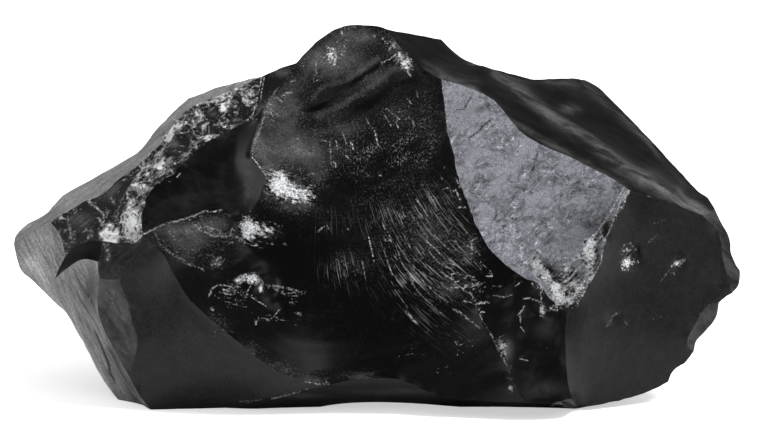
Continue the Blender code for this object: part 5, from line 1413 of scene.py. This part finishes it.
def rays_group():
    """Thin strokes along the rays: noise squeezed across them, kept where it is high.

    Close to the blow they are short dashes that stand in rows along the ripples; farther out they
    are long lines."""
    tree, given, out = new_group("hackle_rays", [("Amount", 0.0)], ["Lines", "Height"])
    amount = given.outputs["Amount"]
    short = cloud(tree, round_the_blow(tree, 120.0, 3.2), 1.0, 4.0, 0.75, 0.3)
    fine = cloud(tree, round_the_blow(tree, 190.0, 1.0), 1.0, 3.0, 0.6, 0.1)
    long = cloud(tree, round_the_blow(tree, 170.0, 0.25), 1.0, 2.0, 0.5, 0.0)
    gathered = cloud(tree, millimetres(tree), 0.45, 2.0, 0.5)
    level = maths(tree, "MULTIPLY_ADD", gathered, RAY_FALL, RAY_LEVEL)
    lines = maths(tree, "ADD", ramp(tree, less(tree, fine, level), 0.0, 0.16),
                  ramp(tree, less(tree, long, level), 0.0, 0.12), clamp=True)
    rows = cloud(tree, round_the_blow(tree, 5.0, 0.6), 1.0, 2.0, 0.5)
    dashes = times(tree, ramp(tree, less(tree, short, level), -0.06, 0.16),
                   ramp(tree, rows, 0.40, 0.60, 0.25, 1.5))
    strokes = between(tree, lines, dashes, ramp(tree, stored(tree, "ring"), *DASHES_TO_LINES))
    wire(tree, times(tree, strokes, amount), out.inputs["Lines"])
    wire(tree, times(tree, fine, amount), out.inputs["Height"])
    return tree


# %% Worn edges
NICK_BREAK = 1.7            # how strongly noise breaks a worn edge into nicks
NICK_RISE = (0.42, 0.85)    # wear plus noise where a nick starts and is full


def edge_group():
    """Bright nicks on an arris: stored wear x closeness, broken up by noise, over Width mm."""
    tree, given, out = new_group("worn_edge", [("Width", 0.3)], ["Nicks"])
    close = maths(tree, "DIVIDE", stored(tree, "gap"), given.outputs["Width"])
    close = maths(tree, "SUBTRACT", 1.0, close, clamp=True)
    worn = times(tree, close, times(tree, stored(tree, "wear"), 1.5))
    broken = less(tree, cloud(tree, millimetres(tree), 1.4, 4.0, 0.65), 0.5)
    nicks = ramp(tree, maths(tree, "MULTIPLY_ADD", broken, NICK_BREAK, worn), *NICK_RISE)
    wire(tree, times(tree, nicks, ramp(tree, close, 0.0, 0.25)), out.inputs["Nicks"])
    return tree


# %% Drawn strokes
STROKE_RISE = (0.95, 0.10)  # half widths from a stroke's middle where it starts and is full
FACE_SPAN = 1.3             # half widths that a triangle of the skin may span
FRAYING = 4.0               # half widths that noise moves a stroke's edge, for each unit of noise


def stroke_group():
    """Strokes: full along their middle, gone just inside one half width; noise frays and breaks them.

    The offset to the stroke passes evenly through nothing as a face crosses it, so its length makes a
    thin line on a coarse mesh.  Half way between two strokes it also vanishes, so the stored distance,
    less what a face can span, is a floor under it."""
    tree, _, out = new_group("drawn_strokes", [], ["White", "Dark"])
    parts = node(tree, "ShaderNodeSeparateXYZ")
    wire(tree, stored(tree, "mark", "Vector"), parts.inputs[0])
    across, rise, distance = parts.outputs
    square = maths(tree, "MULTIPLY_ADD", rise, rise, times(tree, across, across))
    away = greater(tree, maths(tree, "SQRT", square), less(tree, distance, FACE_SPAN))
    where = millimetres(tree)
    frays = less(tree, cloud(tree, where, 5.5, 3.0, 0.75), 0.5)
    cover = ramp(tree, maths(tree, "MULTIPLY_ADD", frays, FRAYING, away), *STROKE_RISE)
    whole = ramp(tree, cloud(tree, where, 3.2, 4.0, 0.7), 0.43, 0.60)
    light = stored(tree, "mark_light")
    white = times(tree, whole, greater(tree, light, 0.0))
    dark = greater(tree, times(tree, light, -1.0), 0.0)
    wire(tree, times(tree, cover, white), out.inputs["White"])
    wire(tree, times(tree, cover, dark), out.inputs["Dark"])
    return tree


BRUISE_AND_GLINT, RAYS, EDGE, STROKE = bruise_and_glint_group(), rays_group(), edge_group(), stroke_group()
print("effects:", [group.name for group in (BRUISE_AND_GLINT, RAYS, EDGE, STROKE)])


# %% Helpers inside a material
def effect(tree, group, **values):
    """Place a group in a material; each value is a socket or a number."""
    made = node(tree, "ShaderNodeGroup", node_tree=group)
    for name, value in values.items():
        if isinstance(value, (int, float)):
            made.inputs[name].default_value = value
        else:
            wire(tree, value, made.inputs[name])
    return made.outputs


def blend_colour(tree, fac, first, second):
    """Mix of two colours; each is a socket or an (r, g, b)."""
    made = node(tree, "ShaderNodeMix", data_type="RGBA")
    wire(tree, fac, made.inputs[0])
    for socket, value in ((made.inputs[6], first), (made.inputs[7], second)):
        if isinstance(value, tuple):
            socket.default_value = (*value, 1.0)
        else:
            wire(tree, value, socket)
    return made.outputs[2]


def bump(tree, height, distance, under=None):
    """Bump node: a height of 1 stands for `distance` mm."""
    made = node(tree, "ShaderNodeBump")
    made.inputs["Strength"].default_value = 1.0
    made.inputs["Distance"].default_value = distance * 0.001
    wire(tree, height, made.inputs["Height"])
    if under is not None:
        wire(tree, under, made.inputs["Normal"])
    return made.outputs["Normal"]


# %% [markdown]
# ## Film textures
# A film on glass is never even.  Each scar has its own texture of it: fine grain on the main scar, a
# silver grain on the weathered face, combed lines on the left, chips and pits in the rubble, soft
# waves on the lid.  One noise over the whole stone would be shorter, but the scars broke in
# different ways and would look alike.  Each function takes the stored film and gives back the film
# with its texture, and a bump.
# On the glassy scars, above all the main scar and the lid, much of the film is painted sheen, so its texture
# there is painted light and shade that the glass mirrors.

# %% Grains
def fine_grain(tree, film_and_sheen):
    """Film x grain: silky, 0.5 to 1.6, where it is thick, and bright specks, 0.2 to 6, where it is thin."""
    where = millimetres(tree)
    weave = share(tree, cloud(tree, where, 5.0, 3.0, 0.7),
                  cloud(tree, round_the_blow(tree, 36.0, 6.0), 1.0, 3.0, 0.6, 0.3), 0.35)
    silky = ramp(tree, weave, 0.38, 0.64, 0.5, 1.6)
    specks = ramp(tree, weave, 0.50, 0.66, 0.2, 6.0)
    grain = between(tree, silky, specks, ramp(tree, film_and_sheen, 0.030, 0.012))
    film_and_sheen = uneven(tree, times(tree, film_and_sheen, grain), cloud(tree, where, 0.8, 3.0, 0.6), 0.3, 0.7, 0.5, 1.5)
    return film_and_sheen, bump(tree, weave, 0.02)


def satin_grain(tree, film_and_sheen):
    """A satin skin: film x mild grain x soft mottling, plus a few faint specks."""
    where = millimetres(tree)
    grit = cloud(tree, where, 5.0, 3.0, 0.7)
    film_and_sheen = uneven(tree, film_and_sheen, grit, 0.35, 0.65, 0.5, 1.5)
    film_and_sheen = uneven(tree, film_and_sheen, cloud(tree, where, 0.7, 3.0, 0.6), 0.3, 0.7, 0.75, 1.25)
    specks = ramp(tree, cloud(tree, where, 3.1, 2.0, 0.5), 0.72, 0.84, 0.0, 0.05)
    return maths(tree, "ADD", film_and_sheen, specks), bump(tree, grit, 0.012)


def silver_grain(tree, film_and_sheen):
    """Weathered face: film x lumps x grain, with a painted highlight on the crests and painted shade in
    thin dark creases.

    The lumps run down to the left.  A slow noise divides the face into rough parts, where lumps,
    crests and creases are strong, and calm parts."""
    slanted = millimetres(tree, (0.60, 1.0, 1.3), -45.0)
    lumps = cloud(tree, slanted, 1.1, 5.0, 0.72, 0.6)
    grain = cloud(tree, millimetres(tree), 5.5, 3.0, 0.75)
    rough = ramp(tree, cloud(tree, millimetres(tree, (0.8, 1.0, 1.2), -45.0), 0.28, 3.0, 0.6), 0.40, 0.60)
    fold = maths(tree, "ABSOLUTE", less(tree, cloud(tree, slanted, 0.7, 3.0, 0.5, 0.5), 0.5))
    shaded_crease = times(tree, ramp(tree, fold, 0.012, 0.003), ramp(tree, rough, 0.35, 0.75))
    lumpy = ramp(tree, lumps, 0.36, 0.64, 0.55, 1.45, smooth=False)
    calm = ramp(tree, lumps, 0.36, 0.64, 0.85, 1.10, smooth=False)
    film_and_sheen = times(tree, film_and_sheen, between(tree, calm, lumpy, rough))
    film_and_sheen = uneven(tree, film_and_sheen, grain, 0.36, 0.64, 0.66, 1.36)
    crest_highlight = times(tree, ramp(tree, lumps, 0.58, 0.66), ramp(tree, rough, 0.2, 0.8))
    film_and_sheen = maths(tree, "MULTIPLY_ADD", crest_highlight, times(tree, film_and_sheen, 0.9), film_and_sheen)
    film_and_sheen = times(tree, film_and_sheen, maths(tree, "MULTIPLY_ADD", shaded_crease, -0.75, 1.0))
    relief = share(tree, times(tree, lumps, ramp(tree, rough, 0.0, 1.0, 0.35, 1.0)), grain, 0.12)
    return film_and_sheen, bump(tree, maths(tree, "MULTIPLY_ADD", shaded_crease, -0.06, relief), 1.8)


# %% Streaks, chips and waves
def combed(tree, film_and_sheen, contrast, lean, depth):
    """Film x combed lines that lean so far down to the right: noise squeezed across the lines."""
    lines = cloud(tree, millimetres(tree, (0.14, 0.5, 2.2), lean), 1.5, 5.0, 0.68, 0.2)
    film_and_sheen = uneven(tree, film_and_sheen, lines, 0.34, 0.66, 1.0 - contrast, 1.0 + contrast)
    film_and_sheen = uneven(tree, film_and_sheen, cloud(tree, millimetres(tree), 4.5, 3.0, 0.65), 0.36, 0.66, 0.65, 1.35)
    return film_and_sheen, bump(tree, lines, depth)


def combed_lines(tree, film_and_sheen):
    """Deeply combed face; its lines run steeply down to the right."""
    return combed(tree, film_and_sheen, 0.50, 59.0, 0.10)


def fine_streaks(tree, film_and_sheen):
    """Smooth face with faint streaks that run up to the right."""
    return combed(tree, film_and_sheen, 0.32, -36.0, 0.04)


def crushed_chips(tree, film_and_sheen):
    """Rubble: grey chips and white ones in black where the film is thick, grey streaks where it is thin.

    The film is added to the noise, so chips are closer together where it is thicker."""
    where = millimetres(tree)
    tone = share(tree, cloud(tree, where, 0.75, 4.0, 0.62, 0.8), cloud(tree, where, 2.6, 4.0, 0.75), 0.42)
    bias = maths(tree, "MULTIPLY_ADD", less(tree, film_and_sheen, 0.3), 0.75, tone)
    grey, white = ramp(tree, bias, 0.47, 0.56, 0.006, 0.22), ramp(tree, bias, 0.54, 0.62, 0.0, 0.60)
    chips = maths(tree, "ADD", grey, white)
    streaks, _ = combed(tree, times(tree, film_and_sheen, 0.7), 0.9, -40.0, 0.1)
    return between(tree, streaks, chips, ramp(tree, film_and_sheen, 0.14, 0.24)), bump(tree, tone, 0.5)


def waved(tree, film_and_sheen):
    """Satin waves: the stored film in soft patches that run down to the right, with a little grain.

    On the lid these patches are painted sheen, the light and dark that its waves mirror.
    """
    patches = cloud(tree, millimetres(tree, (0.25, 1.0, 1.2), 38.0), 0.9, 4.0, 0.6, 0.3)
    grain = cloud(tree, millimetres(tree), 4.0, 3.0, 0.7)
    film_and_sheen = uneven(tree, film_and_sheen, patches, 0.38, 0.62, 0.35, 1.65)
    film_and_sheen = uneven(tree, film_and_sheen, grain, 0.35, 0.65, 0.7, 1.3)
    return film_and_sheen, bump(tree, grain, 0.010)


# %% [markdown]
# ## The finishes
# Under every film the glass is the same near-black mirror, so one function builds all ten finishes
# and a table says what differs: how rough the glass is, the film's texture and tint, how wide the
# edges wear and how strong the mirror is.  Film and crushed glass are pale and dull, so both raise
# the base colour and the roughness together; the painted sheen in the film and the painted glints
# among the white flecks do the same.

# %% One finish
BLACK_GLASS = (0.0012, 0.0012, 0.0014)
# The white below is that of crushed glass, and it also paints the glints on the main scar and the bulb.
CRUSHED_AND_GLINT_WHITE = (0.80, 0.81, 0.83)
NEUTRAL = (0.95, 0.95, 0.96)    # tint of a thick film
SILVER = (0.87, 0.89, 1.0)      # the same on the weathered face
NICK_LIGHT, RAY_LIGHT = 0.6, 0.42       # how white nicks and hackle rays are
DULLING, ROUGHEST = 1.6, 0.6    # roughness that full film or crushing would add, and where it stops
RAY_DEPTH, FLECK_DEPTH = 0.02, 0.10     # bump of rays and of crushed flecks, mm


def glass_finish(name, rough, texture=fine_grain, tint=NEUTRAL, edge_width=0.25, gloss=0.5):
    """Black glass under a textured film and painted sheen, with rays, crushed flecks, painted glints,
    worn edges and drawn strokes.

    Base colour = black x (1 - film) + tint x film, then the same toward white by the strongest of
    flecks, strokes, nicks and rays.  Roughness = rough + DULLING x (film + that), at most ROUGHEST."""
    material = bpy.data.materials.new(name)
    material.use_nodes = True
    tree = material.node_tree
    shader = tree.nodes["Principled BSDF"]
    bruise_and_glint = effect(tree, BRUISE_AND_GLINT, Amount=stored(tree, "bruise_and_glint"))
    rays = effect(tree, RAYS, Amount=stored(tree, "rays"))
    nicks = effect(tree, EDGE, Width=edge_width)["Nicks"]
    strokes = effect(tree, STROKE)
    film_and_sheen, normal = texture(tree, stored(tree, "film_and_sheen"))
    film_and_sheen = times(tree, film_and_sheen, less(tree, 1.0, greater(tree, strokes["Dark"], bruise_and_glint["Pits"])))
    crushed_and_glint = greater(tree, bruise_and_glint["Flecks"], strokes["White"])
    crushed_and_glint = greater(tree, crushed_and_glint, times(tree, nicks, NICK_LIGHT))
    crushed_and_glint = greater(tree, crushed_and_glint, times(tree, rays["Lines"], RAY_LIGHT))
    colour = blend_colour(tree, film_and_sheen, BLACK_GLASS, tint)
    colour = blend_colour(tree, crushed_and_glint, colour, CRUSHED_AND_GLINT_WHITE)
    roughness = maths(tree, "MULTIPLY_ADD", maths(tree, "ADD", film_and_sheen, crushed_and_glint), DULLING, rough)
    normal = bump(tree, rays["Height"], RAY_DEPTH, under=normal)
    normal = bump(tree, greater(tree, bruise_and_glint["Height"], strokes["White"]), FLECK_DEPTH, under=normal)
    shader.inputs["Specular IOR Level"].default_value = gloss
    wire(tree, colour, shader.inputs["Base Color"])
    wire(tree, maths(tree, "MINIMUM", roughness, ROUGHEST), shader.inputs["Roughness"])
    wire(tree, normal, shader.inputs["Normal"])
    return material


# %% All finishes
LOOKS = {
    "shell_glass": {"rough": 0.12},
    "frosted_face": {"rough": 0.12, "texture": silver_grain, "tint": SILVER, "edge_width": 0.3},
    "plain_face": {"rough": 0.30, "texture": satin_grain, "gloss": 0.42},
    "crushed_face": {"rough": 0.20, "texture": crushed_chips, "edge_width": 0.3},
    "streaked_face": {"rough": 0.30, "texture": fine_streaks},
    "combed_face": {"rough": 0.30, "texture": combed_lines},
    "waved_glass": {"rough": 0.32, "texture": waved},
    "dark_notch": {"rough": 0.30, "gloss": 0.1},
    "hollow_glass": {"rough": 0.15, "texture": waved},
    "back_glass": {"rough": 0.22, "texture": satin_grain, "edge_width": 0.35},
}

for name in FINISHES:
    mesh.materials.append(glass_finish(name, **LOOKS[name]))
print("finishes:", [material.name for material in mesh.materials])
